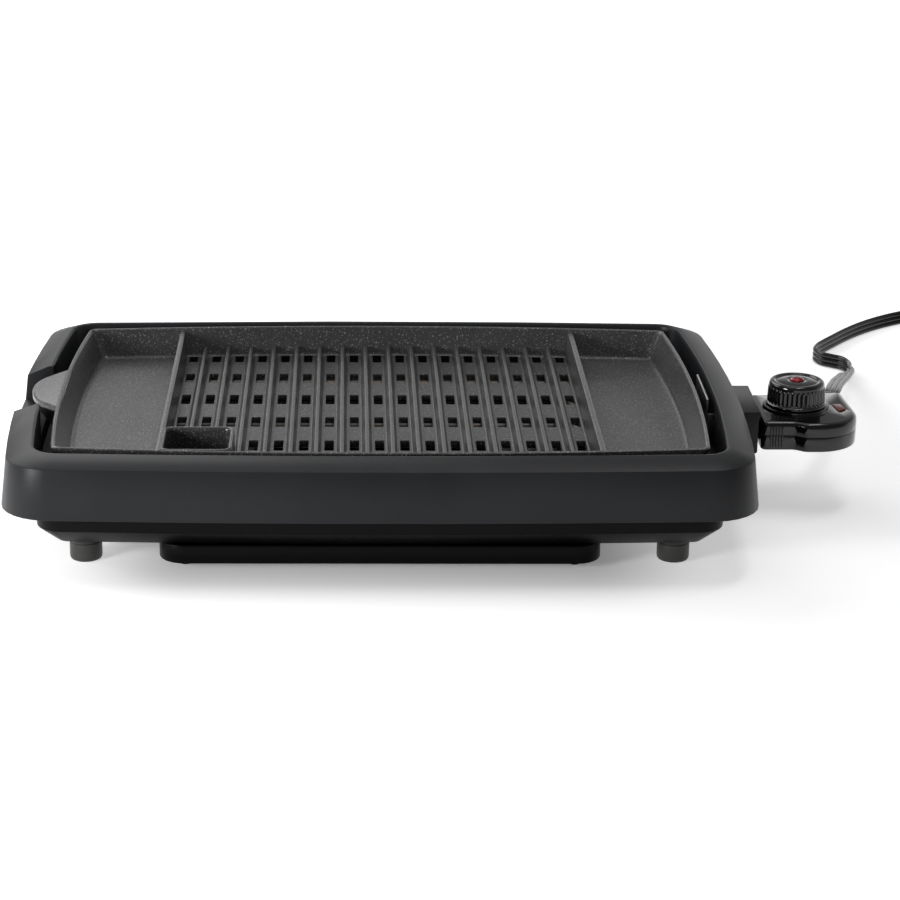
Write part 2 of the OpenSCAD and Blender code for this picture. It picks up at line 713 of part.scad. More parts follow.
module control_cover() placed() color("#101012") difference() {
    control_shell(parting_z, knob_z);
    translate([knob_x, knob_y, parting_z]) cylinder(r = 3 + running_gap, h = knob_z);
    translate([0, 0, control_top - cover_t - 1]) linear_extrude(8) lens_plan(1.03);
    at_control_screws(parting_z - 1) cylinder(r = 1.45, h = 6);
}

module control_bottom() placed() color("#101012") difference() {
    control_shell(control_bottom_z - 1, parting_z);
    at_control_screws(control_bottom_z - 1) cylinder(r = 1.5, h = 20);
    at_control_screws(control_bottom_z - 1) cylinder(r = 3.1, h = 3.2);
}

module control_screws() placed() color("#b0b2b5")
    at_control_screws(control_bottom_z + 2.2) screw(1.4, 12, 3);

module contact_sockets() placed() color("#c8a24c")
    for (y = [-terminal_half, terminal_half]) translate([tube_end_x + 4.2, y, element_z])
        rotate([0, 90, 0]) difference() {
            cylinder(r = pin_r + 0.9, h = control_x - tube_end_x + 4);
            translate([0, 0, -1]) cylinder(r = pin_r + running_gap, h = pin_l + 1);
        }

// Ceramic block in the root of the nose that holds the contacts and the sensor rod
module terminal_block() placed() color("#e6e0d2") difference() {
    translate([control_x - 5, -nose_half + nose_t, nose_z + nose_t])
        cube([9, 2 * (nose_half - nose_t), nose_top - nose_z - 2 * nose_t]);
    for (y = [-terminal_half, terminal_half]) translate([control_x - 6, y, element_z])
        rotate([0, 90, 0]) cylinder(r = pin_r + 0.9, h = 12);
    translate([control_x - 6, 0, element_z]) rotate([0, 90, 0]) cylinder(r = sensor_r, h = 12);
}

module sensor_rod() placed() color("#b9bcc0") translate([control_x + 9, 0, element_z])
    rotate([0, -90, 0]) {
        cylinder(r = sensor_r, h = sensor_l - 3);
        translate([0, 0, sensor_l - 3]) cylinder(r1 = sensor_r, r2 = sensor_r - 1.2, h = 3);
    }

// Bimetal switch: its frame, blades and the cam under the spindle
module thermostat_switch() placed() color("#c8b37a") {
    x = control_x + 12;
    translate([x, -11, control_bottom_z + cover_t]) cube([30, 22, 1.6]);
    translate([x, -7, control_bottom_z + cover_t]) cube([8, 14, 7]);
    for (y = [-7, 2]) translate([x + 1, y, control_bottom_z + 8]) cube([22, 5, 0.8]);
    translate([knob_x, knob_y, control_bottom_z + 8]) cylinder(r = 3, h = 3);
}

// Slanted lens, as seen from above
module lens_plan(k) translate([lens_x, 0]) scale(k)
    polygon([[-3.9, 6.4], [1.7, 7.1], [3.6, -3.6], [-1.5, -8]]);

module pilot_lens() placed() color("#d8461e") {
    translate([0, 0, control_top - cover_t]) linear_extrude(cover_t + 0.6) lens_plan(1);
    translate([0, 0, control_top - cover_t - 1]) linear_extrude(1) lens_plan(1.25);
}

module pilot_lamp() placed() color("#f2b48a") translate([lens_x, -5, control_top - cover_t - 3.2])
    rotate([-90, 0, 0]) cylinder(r = 2.2, h = 9);

// Tapered sleeve where the cord leaves the control, with its collar inside the covers
module relief_oval(w, t) rotate([-90, 0, 0]) resize([w, t, 1]) cylinder(r = 5, h = 1);

module strain_relief() placed() color("#161618") translate([relief_x, relief_y, relief_z]) {
    translate([0, -cover_t - 2, 0]) rotate([-90, 0, 0]) {
        cylinder(r = relief_r + 1.1, h = 2);
        cylinder(r = relief_r, h = cover_t + 3);
    }
    hull() {
        relief_oval(cord_w + 4, cord_t + 5.8);
        rotate([0, 0, -relief_turn]) translate([0, relief_l - 1, 0]) relief_oval(cord_w + 2.6, cord_t + 3.6);
    }
}

// ---- Cord -----------------------------------------------------------------------------------

// Hand-chosen route of the cord from the strain relief to the stored loop, from the middle of
// the housing: x, y, z and how far the flat cord has turned onto its edge, in degrees
route = [
    concat(cord_from, 0), concat(cord_from + 12 * relief_dir, 0),
    [328.5, 92, 52.5, 0], [336.2, 120, 47, 0], [345, 150, 40.5, 5], [353, 179, 34, 15],
    [360, 206, 26.5, 35], [365, 230, 19.5, 55], [369.5, 252, 12.5, 70], [373, 270, 8, 82],
    [376, 286, 6.2, 88], [373.5, 298.5, 6, 90], [366, 305.5, 6, 90], [359, 312, 6, 90],
    [356.3, 323, 6, 90], [359.5, 334.5, 6, 90], [366.5, 346, 6, 90], [376.5, 360, 6, 90],
    [388.5, 376.5, 6, 90], [403, 394, 6, 90], [419, 410, 6, 90], [437, 424.5, 6, 90],
    [455, 436, 6, 90], [473, 445.5, 6, 90], [490, 453.5, 6, 90]
];
profile_pts = 10;

// Flat section of the cord with round edges, width along u and thickness along v
function cord_section(w, t) = [for (k = [0:profile_pts - 1]) let (a = 360 * k / profile_pts)
    [sign(cos(a)) * (w - t) / 2 + t / 2 * cos(a), t / 2 * sin(a)]];

function unit(v) = v / norm(v);

// Ring of the section at p, with tangent t, turned onto its edge by roll
function cord_ring(p, t, roll) = let (
    flat = unit(cross(t, [0, 0, 1])), rise = cross(flat, t),
    u = cos(roll) * flat + sin(roll) * rise, v = cross(u, t))
    [for (q = cord_section(cord_w, cord_t)) p + q.x * u + q.y * v];

function point(r) = [r[0], r[1], r[2]];
function smooth(a, b, c, d, t) = 0.5 * (2 * b + (c - a) * t + (2 * a - 5 * b + 4 * c - d) * t * t
    + (3 * b - a - 3 * c + d) * t * t * t);

// Route with two steps per stretch, as a smooth curve through the chosen points
function fine(pts) = let (n = len(pts)) [for (i = [0:n - 2], h = [0, 0.5])
    smooth(pts[max(i - 1, 0)], pts[i], pts[i + 1], pts[min(i + 2, n - 1)], h)];

// Tube through the points, which starts along d0 and ends along d1
module swept(pts, rolls, d0, d1) {
    n = len(pts);
    loft([for (i = [0:n - 1]) cord_ring(pts[i],
        i == 0 ? d0 : i == n - 1 ? d1 : unit(pts[i + 1] - pts[i - 1]), rolls[i])]);
}

module cord_run() placed() color("#3a3a3c") {
    track = concat(fine(route), [route[len(route) - 1]]);
    swept([for (r = track) point(r)], [for (r = track) r[3]], relief_dir, route_dir);
}

// Stored loop: it starts where the route ends, winds inward clockwise and then bends
// to lead the cord's end across the middle of the loop
route_end = point(route[len(route) - 1]);
route_dir = unit(route_end - point(route[len(route) - 2]));
start_a = atan2(route_dir.x, -route_dir.y);
coil_c = [route_end.x - coil_r * cos(start_a), route_end.y - coil_r * sin(start_a)];
coil_steps = 24;
loop_n = round(coil_steps * coil_turns);
tail_n = 7;
tail_sweep = 96;
end_z = 12.9;
loop_r1 = coil_r - coil_step * loop_n / coil_steps;
loop_a1 = start_a - 360 * loop_n / coil_steps;
function on_loop(k) = let (a = start_a - 360 * k / coil_steps, r = coil_r - coil_step * k / coil_steps)
    [coil_c.x + r * cos(a), coil_c.y + r * sin(a), route_end.z];
tail_c = [coil_c.x + (loop_r1 - tail_r) * cos(loop_a1), coil_c.y + (loop_r1 - tail_r) * sin(loop_a1)];
function on_tail(k) = let (a = loop_a1 - tail_sweep * k / tail_n)
    [tail_c.x + tail_r * cos(a), tail_c.y + tail_r * sin(a), route_end.z + (end_z - route_end.z) * k / tail_n];
tail_end = on_tail(tail_n);
tail_dir = [sin(loop_a1 - tail_sweep), -cos(loop_a1 - tail_sweep), 0];
coil_points = concat([for (k = [0:loop_n]) on_loop(k)], [for (k = [1:tail_n]) on_tail(k)],
    [tail_end + 6 * tail_dir, tail_end + 12 * tail_dir]);
plug_at = tail_end + 12 * tail_dir;
plug_a = atan2(tail_dir.y, tail_dir.x);

module cord_coil() placed() color("#3a3a3c")
    swept(coil_points, [for (p = coil_points) 90], route_dir, tail_dir);

// Length of the cord in the run and in the stored loop
function length_of(p) = norm([for (i = [1:len(p) - 1]) norm(p[i] - p[i - 1])]) >= 0
    ? [for (i = [1:len(p) - 1]) norm(p[i] - p[i - 1])] * [for (i = [1:len(p) - 1]) 1] : 0;
echo(run_length = length_of([for (r = fine(route)) point(r)]), coil_length = length_of(coil_points));

// Least distance between stretches of the stored loop that are not neighbours
echo(loop_gap = min([for (i = [0:loop_n], j = [i + 12:1:len(coil_points) - 1])
    norm(coil_points[i] - coil_points[j])]) - cord_t);

module at_plug() translate(plug_at) rotate([0, 0, plug_a]) children();

// Moulded plug: tapered sleeve, grip body and face
module plug_body() placed() color("#1b1b1d") at_plug() rotate([0, 90, 0]) {
    resize([cord_w + 4, cord_t + 6, 14]) cylinder(r1 = 6, r2 = 8, h = 14);
    translate([0, 0, 12]) resize([25.6, 27, 7]) cylinder(r1 = 7, r2 = 12, h = 7);
    translate([0, 0, 19]) resize([25.6, 27, 15]) cylinder(r = 12, h = 15);
}

module plug_blades() placed() color("#cfae62") at_plug() for (y = [-6.35, 6.35])
    translate([34, y - 0.75, 0.3]) cube([17.5, 1.5, 6.3]);

module plug_ground_pin() placed() color("#cfae62") at_plug() translate([34, 0, -8.4]) rotate([0, 90, 0]) {
    cylinder(r = 2.4, h = 18);
    translate([0, 0, 18]) cylinder(r1 = 2.4, r2 = 1.2, h = 2);
}

// ---- Knob -----------------------------------------------------------------------------------

module dial_spindle() placed() color("#9fa2a6") translate([knob_x, knob_y, control_bottom_z + 11])
    cylinder(r = 3, h = knob_z + knob_h - 4 - control_bottom_z - 11);

module knob() placed() color("#0e0e10") translate([knob_x, knob_y, knob_z]) difference() {
    union() {
        rotate_extrude() polygon([
            [0, 0], [knob_d / 2, 0], [knob_d / 2, 1.5], [knob_d / 2 - 0.7, 2.2],
            [knob_d / 2 - 1.9, knob_h - 1.6], [knob_d / 2 - 3.2, knob_h], [0, knob_h]
        ]);
        for (i = [0:flutes - 1]) rotate([0, 0, 360 * i / flutes])
            translate([knob_d / 2 - 1.4, 0, 1]) rotate([0, -4.5, 0]) cylinder(r = 0.9, h = knob_h - 3);
    }
    translate([0, 0, -1]) cylinder(r = 3, h = knob_h - 3);
    translate([0, 0, knob_h - 1]) cylinder(r = 5, h = 2);
}

module knob_cap() placed() color("#b3121c") translate([knob_x, knob_y, knob_z + knob_h - 1])
    rotate_extrude() polygon([[0, 0], [4.8, 0], [4.8, 1.2], [4, 2], [2.2, 2.6], [0, 2.8]]);

housing();
base_pan();
foot_front_left();
foot_front_right();
foot_rear_left();
foot_rear_right();
foot_screws();
reflector();
reflector_screws();
heating_element();
element_clips();
terminal_guard();
guard_rivets();
terminal_insulators();
terminal_pins();
sensor_guide();
grill_plate();
drip_tray();
control_cover();
control_bottom();
contact_sockets();
terminal_block();
sensor_rod();
thermostat_switch();
pilot_lens();
pilot_lamp();
control_screws();
strain_relief();
cord_run();
cord_coil();
plug_body();
plug_blades();
plug_ground_pin();
dial_spindle();
knob();
knob_cap();
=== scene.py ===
"""Looks of an electric tabletop grill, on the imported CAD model: one operator for each group of
pieces, one for the stage, and their settings in the 3D view's sidebar."""

import json
import math

import bmesh
import bpy
import numpy as np
from mathutils import Matrix, Vector


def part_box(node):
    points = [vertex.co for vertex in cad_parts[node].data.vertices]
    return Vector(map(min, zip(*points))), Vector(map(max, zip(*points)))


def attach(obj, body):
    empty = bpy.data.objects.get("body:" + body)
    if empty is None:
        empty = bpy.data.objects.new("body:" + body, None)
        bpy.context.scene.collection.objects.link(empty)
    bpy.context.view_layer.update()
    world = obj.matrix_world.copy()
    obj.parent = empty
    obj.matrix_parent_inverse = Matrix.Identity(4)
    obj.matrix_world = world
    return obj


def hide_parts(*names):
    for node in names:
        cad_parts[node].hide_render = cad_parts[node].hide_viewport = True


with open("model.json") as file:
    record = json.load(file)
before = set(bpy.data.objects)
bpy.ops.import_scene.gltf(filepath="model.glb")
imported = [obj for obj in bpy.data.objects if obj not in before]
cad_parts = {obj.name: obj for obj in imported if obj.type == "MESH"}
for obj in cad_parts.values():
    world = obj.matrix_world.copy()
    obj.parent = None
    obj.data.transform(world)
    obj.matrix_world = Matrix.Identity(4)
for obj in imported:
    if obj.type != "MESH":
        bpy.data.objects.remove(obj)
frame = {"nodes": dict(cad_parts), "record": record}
NODES = frame["nodes"]
SLOT_OF = {row["node"]: row["material_slot"] for row in frame["record"]["subparts"]}
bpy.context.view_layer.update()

bl_info = {
    "name": "Electric tabletop grill",
    "version": (1, 0, 0),
    "blender": (4, 5, 0),
    "location": "View3D > Sidebar > Grill",
    "description": "Builds the looks of an electric tabletop grill on its packed CAD model",
    "category": "Object",
}

MM = 0.001
SIDE = 39.0  # the housing's middle stands this far, in mm, from the middle of the whole model


def at(x, y, z):
    """A point in mm from the middle of the housing, as metres in the model's frame."""
    return Vector(((x - SIDE) * MM, y * MM, z * MM))


# ---- Shader maths ---------------------------------------------------------------------------


class Value:
    """A shader socket with arithmetic on it."""

    def __init__(self, graph, socket):
        self.graph, self.socket = graph, socket

    def __add__(self, other):
        return self.graph.math("ADD", self, other)

    def __radd__(self, other):
        return self.graph.math("ADD", other, self)

    def __sub__(self, other):
        return self.graph.math("SUBTRACT", self, other)

    def __rsub__(self, other):
        return self.graph.math("SUBTRACT", other, self)

    def __mul__(self, other):
        return self.graph.math("MULTIPLY", self, other)

    def __rmul__(self, other):
        return self.graph.math("MULTIPLY", other, self)

    def __truediv__(self, other):
        return self.graph.math("DIVIDE", self, other)

    def __rtruediv__(self, other):
        return self.graph.math("DIVIDE", other, self)

    def __neg__(self):
        return self.graph.math("MULTIPLY", self, -1.0)

    def __abs__(self):
        return self.graph.math("ABSOLUTE", self)

    def max(self, other):
        return self.graph.math("MAXIMUM", self, other)

    def min(self, other):
        return self.graph.math("MINIMUM", self, other)

    def step(self, low, high):
        """0 below low and 1 above high, with a smooth rise between."""
        return self.graph.make(
            "ShaderNodeMapRange",
            {"interpolation_type": "SMOOTHSTEP"},
            {"Value": self, "From Min": low, "From Max": high},
        )


class Graph:
    """A material and the nodes that are made in it."""

    def __init__(self, name):
        self.material = bpy.data.materials.new(name)
        self.material.use_nodes = True
        self.tree = self.material.node_tree
        self.tree.nodes.clear()
        self.output = self.tree.nodes.new("ShaderNodeOutputMaterial")
        self.count = 0

    def put(self, socket, value):
        """Links a value to a socket, or sets the socket to it."""
        if isinstance(value, Value):
            value = value.socket
        if isinstance(value, bpy.types.NodeSocket):
            self.tree.links.new(value, socket)
        elif isinstance(value, (tuple, list)) and len(value) == 3 and socket.type == "RGBA":
            socket.default_value = (*value, 1.0)
        else:
            socket.default_value = value

    def node(self, kind, settings=None, inputs=None):
        """A node of that kind, with its settings first and then its inputs."""
        made = self.tree.nodes.new(kind)
        self.count += 1
        made.location = (-220 * (1 + self.count % 7), 180 * (self.count // 7))
        for key, value in (settings or {}).items():
            if key == "stops":
                ramp = made.color_ramp
                while len(ramp.elements) < len(value):
                    ramp.elements.new(0.5)
                for element, (place, colour) in zip(ramp.elements, value):
                    element.position, element.color = place, (*colour, 1.0)
            else:
                setattr(made, key, value)
        for key, value in (inputs or {}).items():
            self.put(made.inputs[key], value)
        return made

    def make(self, kind, settings=None, inputs=None, out=0):
        """One output of a new node, as a value."""
        return Value(self, self.node(kind, settings, inputs).outputs[out])

    def math(self, operation, a, b=0.0):
        """Arithmetic on values."""
        return self.make("ShaderNodeMath", {"operation": operation}, {0: a, 1: b})

    def vector_math(self, operation, a, b=(0.0, 0.0, 0.0)):
        """Arithmetic on vectors."""
        return self.make("ShaderNodeVectorMath", {"operation": operation}, {0: a, 1: b})

    def length(self, vector):
        """The length of a vector, as a value."""
        settings = {"operation": "LENGTH"}
        return self.make("ShaderNodeVectorMath", settings, {0: vector}, out="Value")

    def mix(self, factor, a, b, blend="MIX"):
        """Colour a, turning to b as the factor rises."""
        return self.make(
            "ShaderNodeMix",
            {"data_type": "RGBA", "blend_type": blend},
            {0: factor, 6: a, 7: b},
            out=2,
        )

    def place(self):
        """Object coordinates in metres, one value for each axis and one for all."""
        vector = self.make("ShaderNodeTexCoord", out="Object")
        split = self.node("ShaderNodeSeparateXYZ", None, {0: vector})
        return vector, *(Value(self, split.outputs[k]) for k in range(3))

    def moved(self, vector, by, scale=(1.0, 1.0, 1.0)):
        """The vector less a point, then scaled."""
        less = self.vector_math("SUBTRACT", vector, tuple(by))
        return self.vector_math("MULTIPLY", less, scale)

    def noise(self, vector, size, detail=3.0, rough=0.5):
        """Smooth noise with features of that size in metres."""
        return self.make(
            "ShaderNodeTexNoise",
            None,
            {"Vector": vector, "Scale": 1 / size, "Detail": detail, "Roughness": rough},
        )

    def flecks(self, vector, size, share, feature="F1"):
        """1 inside small round flecks, which are share of a cell of that size wide."""
        far = self.make(
            "ShaderNodeTexVoronoi",
            {"feature": feature},
            {"Vector": vector, "Scale": 1 / size},
            out="Distance",
        )
        return 1 - far.step(0.5 * share, 0.8 * share)

    def bump(self, height, depth):
        """A bump of that depth in metres from a height of 0 to 1."""
        inputs = {"Height": height, "Strength": 1.0, "Distance": depth}
        return self.make("ShaderNodeBump", None, inputs)

    def finish(self, **sockets):
        """Ends the material in a Principled shader with these inputs."""
        names = {key: key.replace("_", " ") for key in sockets}
        names["IOR_Level"] = "Specular IOR Level"
        inputs = {names[key]: value for key, value in sockets.items()}
        shader = self.node("ShaderNodeBsdfPrincipled", None, inputs)
        shader.location = (0, 0)
        self.tree.links.new(shader.outputs[0], self.output.inputs["Surface"])
        return self.material


# ---- Materials ------------------------------------------------------------------------------


def times(colour, factor, more=0.0):
    """The colour times a factor plus an amount, at most 1."""
    return tuple(min(factor * c + more, 1.0) for c in colour)


def moulding(name, colour, rough, ior_level, grain, depth):
    """Moulded plastic with a fine spark-eroded grain and a faint change of tone."""
    g = Graph(name)
    where, _, _, _ = g.place()
    fine = g.noise(where, grain, 2.0, 0.6)
    broad = g.noise(where, 0.05, 2.0)
    shade = g.mix(broad.step(0.35, 0.65), times(colour, 0.93), times(colour, 1.07))
    return g.finish(
        Base_Color=shade,
        Roughness=rough + 0.05 * (fine - 0.5),
        IOR_Level=ior_level,
        Normal=g.bump(fine, depth),
    )


def gloss(name, colour, rough, ior_level):
    """Polished black moulding with faint flow marks."""
    g = Graph(name)
    where, _, _, _ = g.place()
    flow = g.noise(where, 0.022, 3.0)
    dust = g.flecks(where, 0.004, 0.05)
    return g.finish(
        Base_Color=g.mix(0.5 * dust, colour, times(colour, 4, 0.01)),
        Roughness=rough + 0.06 * flow.step(0.4, 0.7),
        IOR_Level=ior_level,
        Coat_Weight=0.5,
        Coat_Roughness=0.03,
        Normal=g.bump(flow, 0.00004),
    )


def cast_coating(name, colour, fleck, rough):
    """Cast plate under a dark non-stick coating: pale flecks and a slightly lumpy skin."""
    g = Graph(name)
    where, _, _, height = g.place()
    lumps = g.noise(where, 0.0035, 3.0, 0.6)
    fine = g.flecks(g.moved(where, (0.03, 0.05, 0.02)), 0.0011, 0.5)
    small = g.flecks(where, 0.0019, 0.34)
    large = g.flecks(g.moved(where, (0.11, 0.07, 0.05)), 0.0041, 0.2)
    clouds = g.noise(where, 0.03, 2.0)
    base = g.mix(clouds.step(0.3, 0.7), times(colour, 0.9), times(colour, 1.1))
    dusted = g.mix(0.12 * fine, base, fleck)
    spotted = g.mix((0.42 * small).max(0.6 * large), dusted, fleck)
    facing = g.make("ShaderNodeNewGeometry", out="True Normal")
    up = g.node("ShaderNodeSeparateXYZ", None, {0: facing})
    level = Value(g, up.outputs[2]).step(0.5, 0.95)
    floor = 1 - height.step(0.0675, 0.0695)  # below the tops of the ribs
    return g.finish(
        Base_Color=spotted,
        Metallic=0.25,
        Roughness=rough + 0.1 * level * floor + 0.1 * (lumps - 0.5),
        IOR_Level=0.45,
        Coat_Weight=0.3,
        Coat_Roughness=0.16,
        Normal=g.bump(lumps, 0.00022),
    )


def metal(name, colour, rough, streak, tint=None):
    """Metal with fine drawn streaks along x and patches of a second tint."""
    g = Graph(name)
    where, _, _, _ = g.place()
    drawn = g.noise(g.moved(where, (0, 0, 0), (0.04, 1.0, 1.0)), streak, 3.0)
    patch = g.noise(where, 0.012, 3.0)
    second = tint or times(colour, 0.86)
    return g.finish(
        Base_Color=g.mix(patch.step(0.42, 0.68), colour, second),
        Metallic=1.0,
        Roughness=rough + 0.12 * (drawn - 0.5) + 0.1 * patch.step(0.5, 0.7),
        Normal=g.bump(drawn, 0.00003),
    )


def ceramic(name, colour):
    """Unglazed ceramic with a sandy grain."""
    g = Graph(name)
    where, _, _, _ = g.place()
    grain = g.noise(where, 0.0012, 3.0)
    return g.finish(
        Base_Color=g.mix(grain.step(0.4, 0.7), colour, times(colour, 0.9)),
        Roughness=0.62,
        Normal=g.bump(grain, 0.00008),
    )


def translucent(name, colour, edge_on_shade, painted_glow, rough, coat):
    """Clear coloured plastic with painted shade that turns it deeper in tone where it is seen edge
    on, and a painted emission in its own colour.
    """
    g = Graph(name)
    where, _, _, _ = g.place()
    # painted shade: the colour turns deeper where the surface is seen edge on
    edge = g.make("ShaderNodeLayerWeight", None, {"Blend": 0.35}, out="Facing")
    swirl = g.noise(where, 0.004, 2.0)
    return g.finish(
        Base_Color=g.mix((edge + 0.3 * swirl).step(0.1, 0.9), colour, edge_on_shade),
        Roughness=rough,
        IOR_Level=0.25,
        Coat_Weight=coat,
        Coat_Roughness=0.04,
        # painted glow: emission in the plastic's own colour
        Emission_Color=colour,
        Emission_Strength=painted_glow,
    )


def glass(name, colour):
    """Clear glass of a small lamp."""
    g = Graph(name)
    where, _, _, _ = g.place()
    swirl = g.noise(where, 0.002, 2.0)
    shade = g.mix(swirl, colour, (1.0, 0.9, 0.8))
    return g.finish(Base_Color=shade, Roughness=0.05, Transmission_Weight=0.7)


def rubber(name, colour, rough, ior_level):
    """Extruded rubber with a fine skin."""
    g = Graph(name)
    where, _, _, _ = g.place()
    skin = g.noise(where, 0.0009, 3.0)
    wear = g.noise(where, 0.03, 3.0)
    return g.finish(
        Base_Color=g.mix(wear.step(0.45, 0.7), colour, times(colour, 1.35)),
        Roughness=rough + 0.12 * (wear - 0.5),
        IOR_Level=ior_level,
        Normal=g.bump(skin, 0.00003),
    )


def knob_gloss(name, colour, rough, ior_level):
    """The control's gloss moulding, with a fine scale of ticks on the right of the knob's top."""
    low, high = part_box("knob")
    middle, radius = ((low.x + high.x) / 2, (low.y + high.y) / 2, 0.0), (high.x - low.x) / 2
    tick_turn = 1.6 / 7  # radians from one tick to the next
    g = Graph(name)
    where, _, _, height = g.place()
    split = g.node("ShaderNodeSeparateXYZ", None, {0: g.moved(where, middle)})
    x, y = Value(g, split.outputs[0]), Value(g, split.outputs[1])
    far = g.length(g.make("ShaderNodeCombineXYZ", None, {0: x, 1: y, 2: 0.0}))
    angle = g.math("ARCTAN2", y, x)
    turns = g.math("FRACT", (angle + 1.0) * (1 / tick_turn) + 10.0)
    tick = abs(turns - 0.5).step(0.47, 0.49)
    band = far.step(0.72 * radius, 0.73 * radius) * (1 - far.step(0.81 * radius, 0.82 * radius))
    side = 1 - abs(angle + 0.2).step(0.78, 0.8)
    mark = tick * band * side * height.step(high.z - 0.0014, high.z - 0.0012)
    flow = g.noise(where, 0.01, 3.0)
    return g.finish(
        Base_Color=g.mix(0.75 * mark, colour, (0.3, 0.3, 0.3)),
        Roughness=rough + 0.05 * flow + 0.2 * mark,
        IOR_Level=ior_level,
        Coat_Weight=0.5,
        Coat_Roughness=0.04,
    )


MATERIALS = {}


def material(slot_name):
    """The material of a record slot, made once from the sidebar's settings."""
    if slot_name in MATERIALS:
        return MATERIALS[slot_name]
    look = bpy.context.scene.grill_looks
    housing, base = tuple(look.housing_colour), tuple(look.base_colour)
    plate, fleck = tuple(look.plate_colour), tuple(look.fleck_colour)
    control, cord = tuple(look.control_colour), tuple(look.cord_colour)
    cap, lens = tuple(look.cap_colour), tuple(look.lens_colour)
    kind, *values = {
        # colour, roughness, specular level, grain and its depth in metres
        "housing_plastic": (moulding, housing, 0.37, 0.2, 0.0007, 0.00003),
        "base_plastic": (moulding, base, 0.4, 0.1, 0.0006, 0.00005),
        "tray_plastic": (moulding, base, 0.3, 0.08, 0.0008, 0.00002),
        # colour, flecks, roughness
        "plate_coating": (cast_coating, plate, fleck, 0.34),
        # colour, roughness, streaks in metres, second tint
        "reflector_metal": (metal, (0.62, 0.63, 0.64), 0.26, 0.0012),
        "element_metal": (metal, (0.1, 0.097, 0.093), 0.45, 0.001, (0.17, 0.13, 0.1)),
        "bracket_metal": (metal, (0.55, 0.56, 0.57), 0.3, 0.0009),
        "screw_metal": (metal, (0.5, 0.51, 0.52), 0.34, 0.0008),
        "contact_brass": (metal, (0.72, 0.5, 0.2), 0.28, 0.0008),
        "ceramic": (ceramic, (0.72, 0.68, 0.6)),
        "lamp_glass": (glass, (0.95, 0.75, 0.6)),
        # colour, roughness, specular level
        "control_plastic": (gloss, control, 0.09, 0.3),
        "knob_plastic": (knob_gloss, control, 0.12, 0.35),
        "foot_plastic": (rubber, (0.035, 0.034, 0.032), 0.42, 0.5),
        "cord_rubber": (rubber, cord, 0.24, 0.5),
        "plug_rubber": (rubber, cord, 0.42, 0.4),
        # colour, colour seen edge on as painted shade, painted emission strength, roughness, coat
        "cap_red": (translucent, cap, (0.08, 0.0, 0.006), 0.0, 0.12, 0.5),
        # the lens gets a faint painted glow of its own colour; the cap gets none
        "lens_red": (translucent, lens, (0.1, 0.015, 0.008), 0.04, 0.25, 0.15),
    }[slot_name]
    MATERIALS[slot_name] = kind(slot_name, *values)
    return MATERIALS[slot_name]


# ---- Meshes ---------------------------------------------------------------------------------


def new_piece(name, mesh, body, stands_for, slot_name=None):
    """A shown piece that rides on a body in place of the CAD nodes named."""
    piece = bpy.data.objects.new(name, mesh)
    bpy.context.scene.collection.objects.link(piece)
    slot_name = slot_name or SLOT_OF[stands_for[0]]
    piece.data.materials.clear()
    piece.data.materials.append(material(slot_name))
    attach(piece, body)
    if stands_for:
        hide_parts(*stands_for)
    return piece


def soften(mesh, angle):
    """Smooth shading up to that angle between faces, in degrees."""
    mesh.shade_smooth()
    mesh.set_sharp_from_angle(angle=math.radians(angle))


def rounded_copy(node, body, width, angle=28, segments=2):
    """A copy of a CAD node with its triangles joined into faces and its edges rounded."""
    mesh = NODES[node].data.copy()
    mesh.name = node + "_rounded"
    work = bmesh.new()
    work.from_mesh(mesh)
    bmesh.ops.remove_doubles(work, verts=work.verts, dist=0.00002)
    bmesh.ops.dissolve_limit(
        work, angle_limit=math.radians(0.5), verts=work.verts, edges=work.edges,
        use_dissolve_boundaries=False,
    )
    bmesh.ops.connect_verts_concave(work, faces=work.faces)
    work.to_mesh(mesh)
    work.free()
    maker = bpy.data.objects.new("maker", mesh)
    bpy.context.scene.collection.objects.link(maker)
    bevel = maker.modifiers.new("edges", "BEVEL")
    bevel.width = width * MM
    bevel.segments = segments
    bevel.limit_method = "ANGLE"
    bevel.angle_limit = math.radians(angle)
    bevel.use_clamp_overlap = False
    bevel.miter_outer = "MITER_ARC"
    bevel.harden_normals = False
    bevel.loop_slide = False
    maker.modifiers.new("normals", "WEIGHTED_NORMAL").keep_sharp = True
    graph = bpy.context.evaluated_depsgraph_get()
    done = bpy.data.meshes.new_from_object(maker.evaluated_get(graph), depsgraph=graph)
    done.name = mesh.name
    bpy.data.objects.remove(maker)
    bpy.data.meshes.remove(mesh)
    soften(done, 38)
    return new_piece(node + "_looks", done, body, [node])


def grid_mesh(name, rings, closed=False, angle=40):
    """A skin over rings of points, each ring a closed loop of the same count."""
    count = len(rings[0])
    points = [tuple(p) for ring in rings for p in ring]
    faces = []
    for j in range(len(rings) if closed else len(rings) - 1):
        up = (j + 1) % len(rings)
        for i in range(count):
            k = (i + 1) % count
            faces.append((j * count + i, j * count + k, up * count + k, up * count + i))
    if not closed:
        faces.append(tuple(reversed(range(count))))
        last = (len(rings) - 1) * count
        faces.append(tuple(last + i for i in range(count)))
    mesh = bpy.data.meshes.new(name)
    mesh.from_pydata(points, [], faces)
    work = bmesh.new()
    work.from_mesh(mesh)
    bmesh.ops.recalc_face_normals(work, faces=work.faces)
    work.to_mesh(mesh)
    work.free()
    soften(mesh, angle)
    return mesh


def join_meshes(name, meshes, angle=None):
    """Several meshes as one."""
    work = bmesh.new()
    for mesh in meshes:
        work.from_mesh(mesh)
    joined = bpy.data.meshes.new(name)
    work.to_mesh(joined)
    work.free()
    for mesh in meshes:
        bpy.data.meshes.remove(mesh)
    if angle is not None:
        soften(joined, angle)
    return joined


# ---- Settings -------------------------------------------------------------------------------


def colour_setting(name, description, default):
    return bpy.props.FloatVectorProperty(
        name=name, description=description, default=default, subtype="COLOR", min=0.0, max=1.0
    )


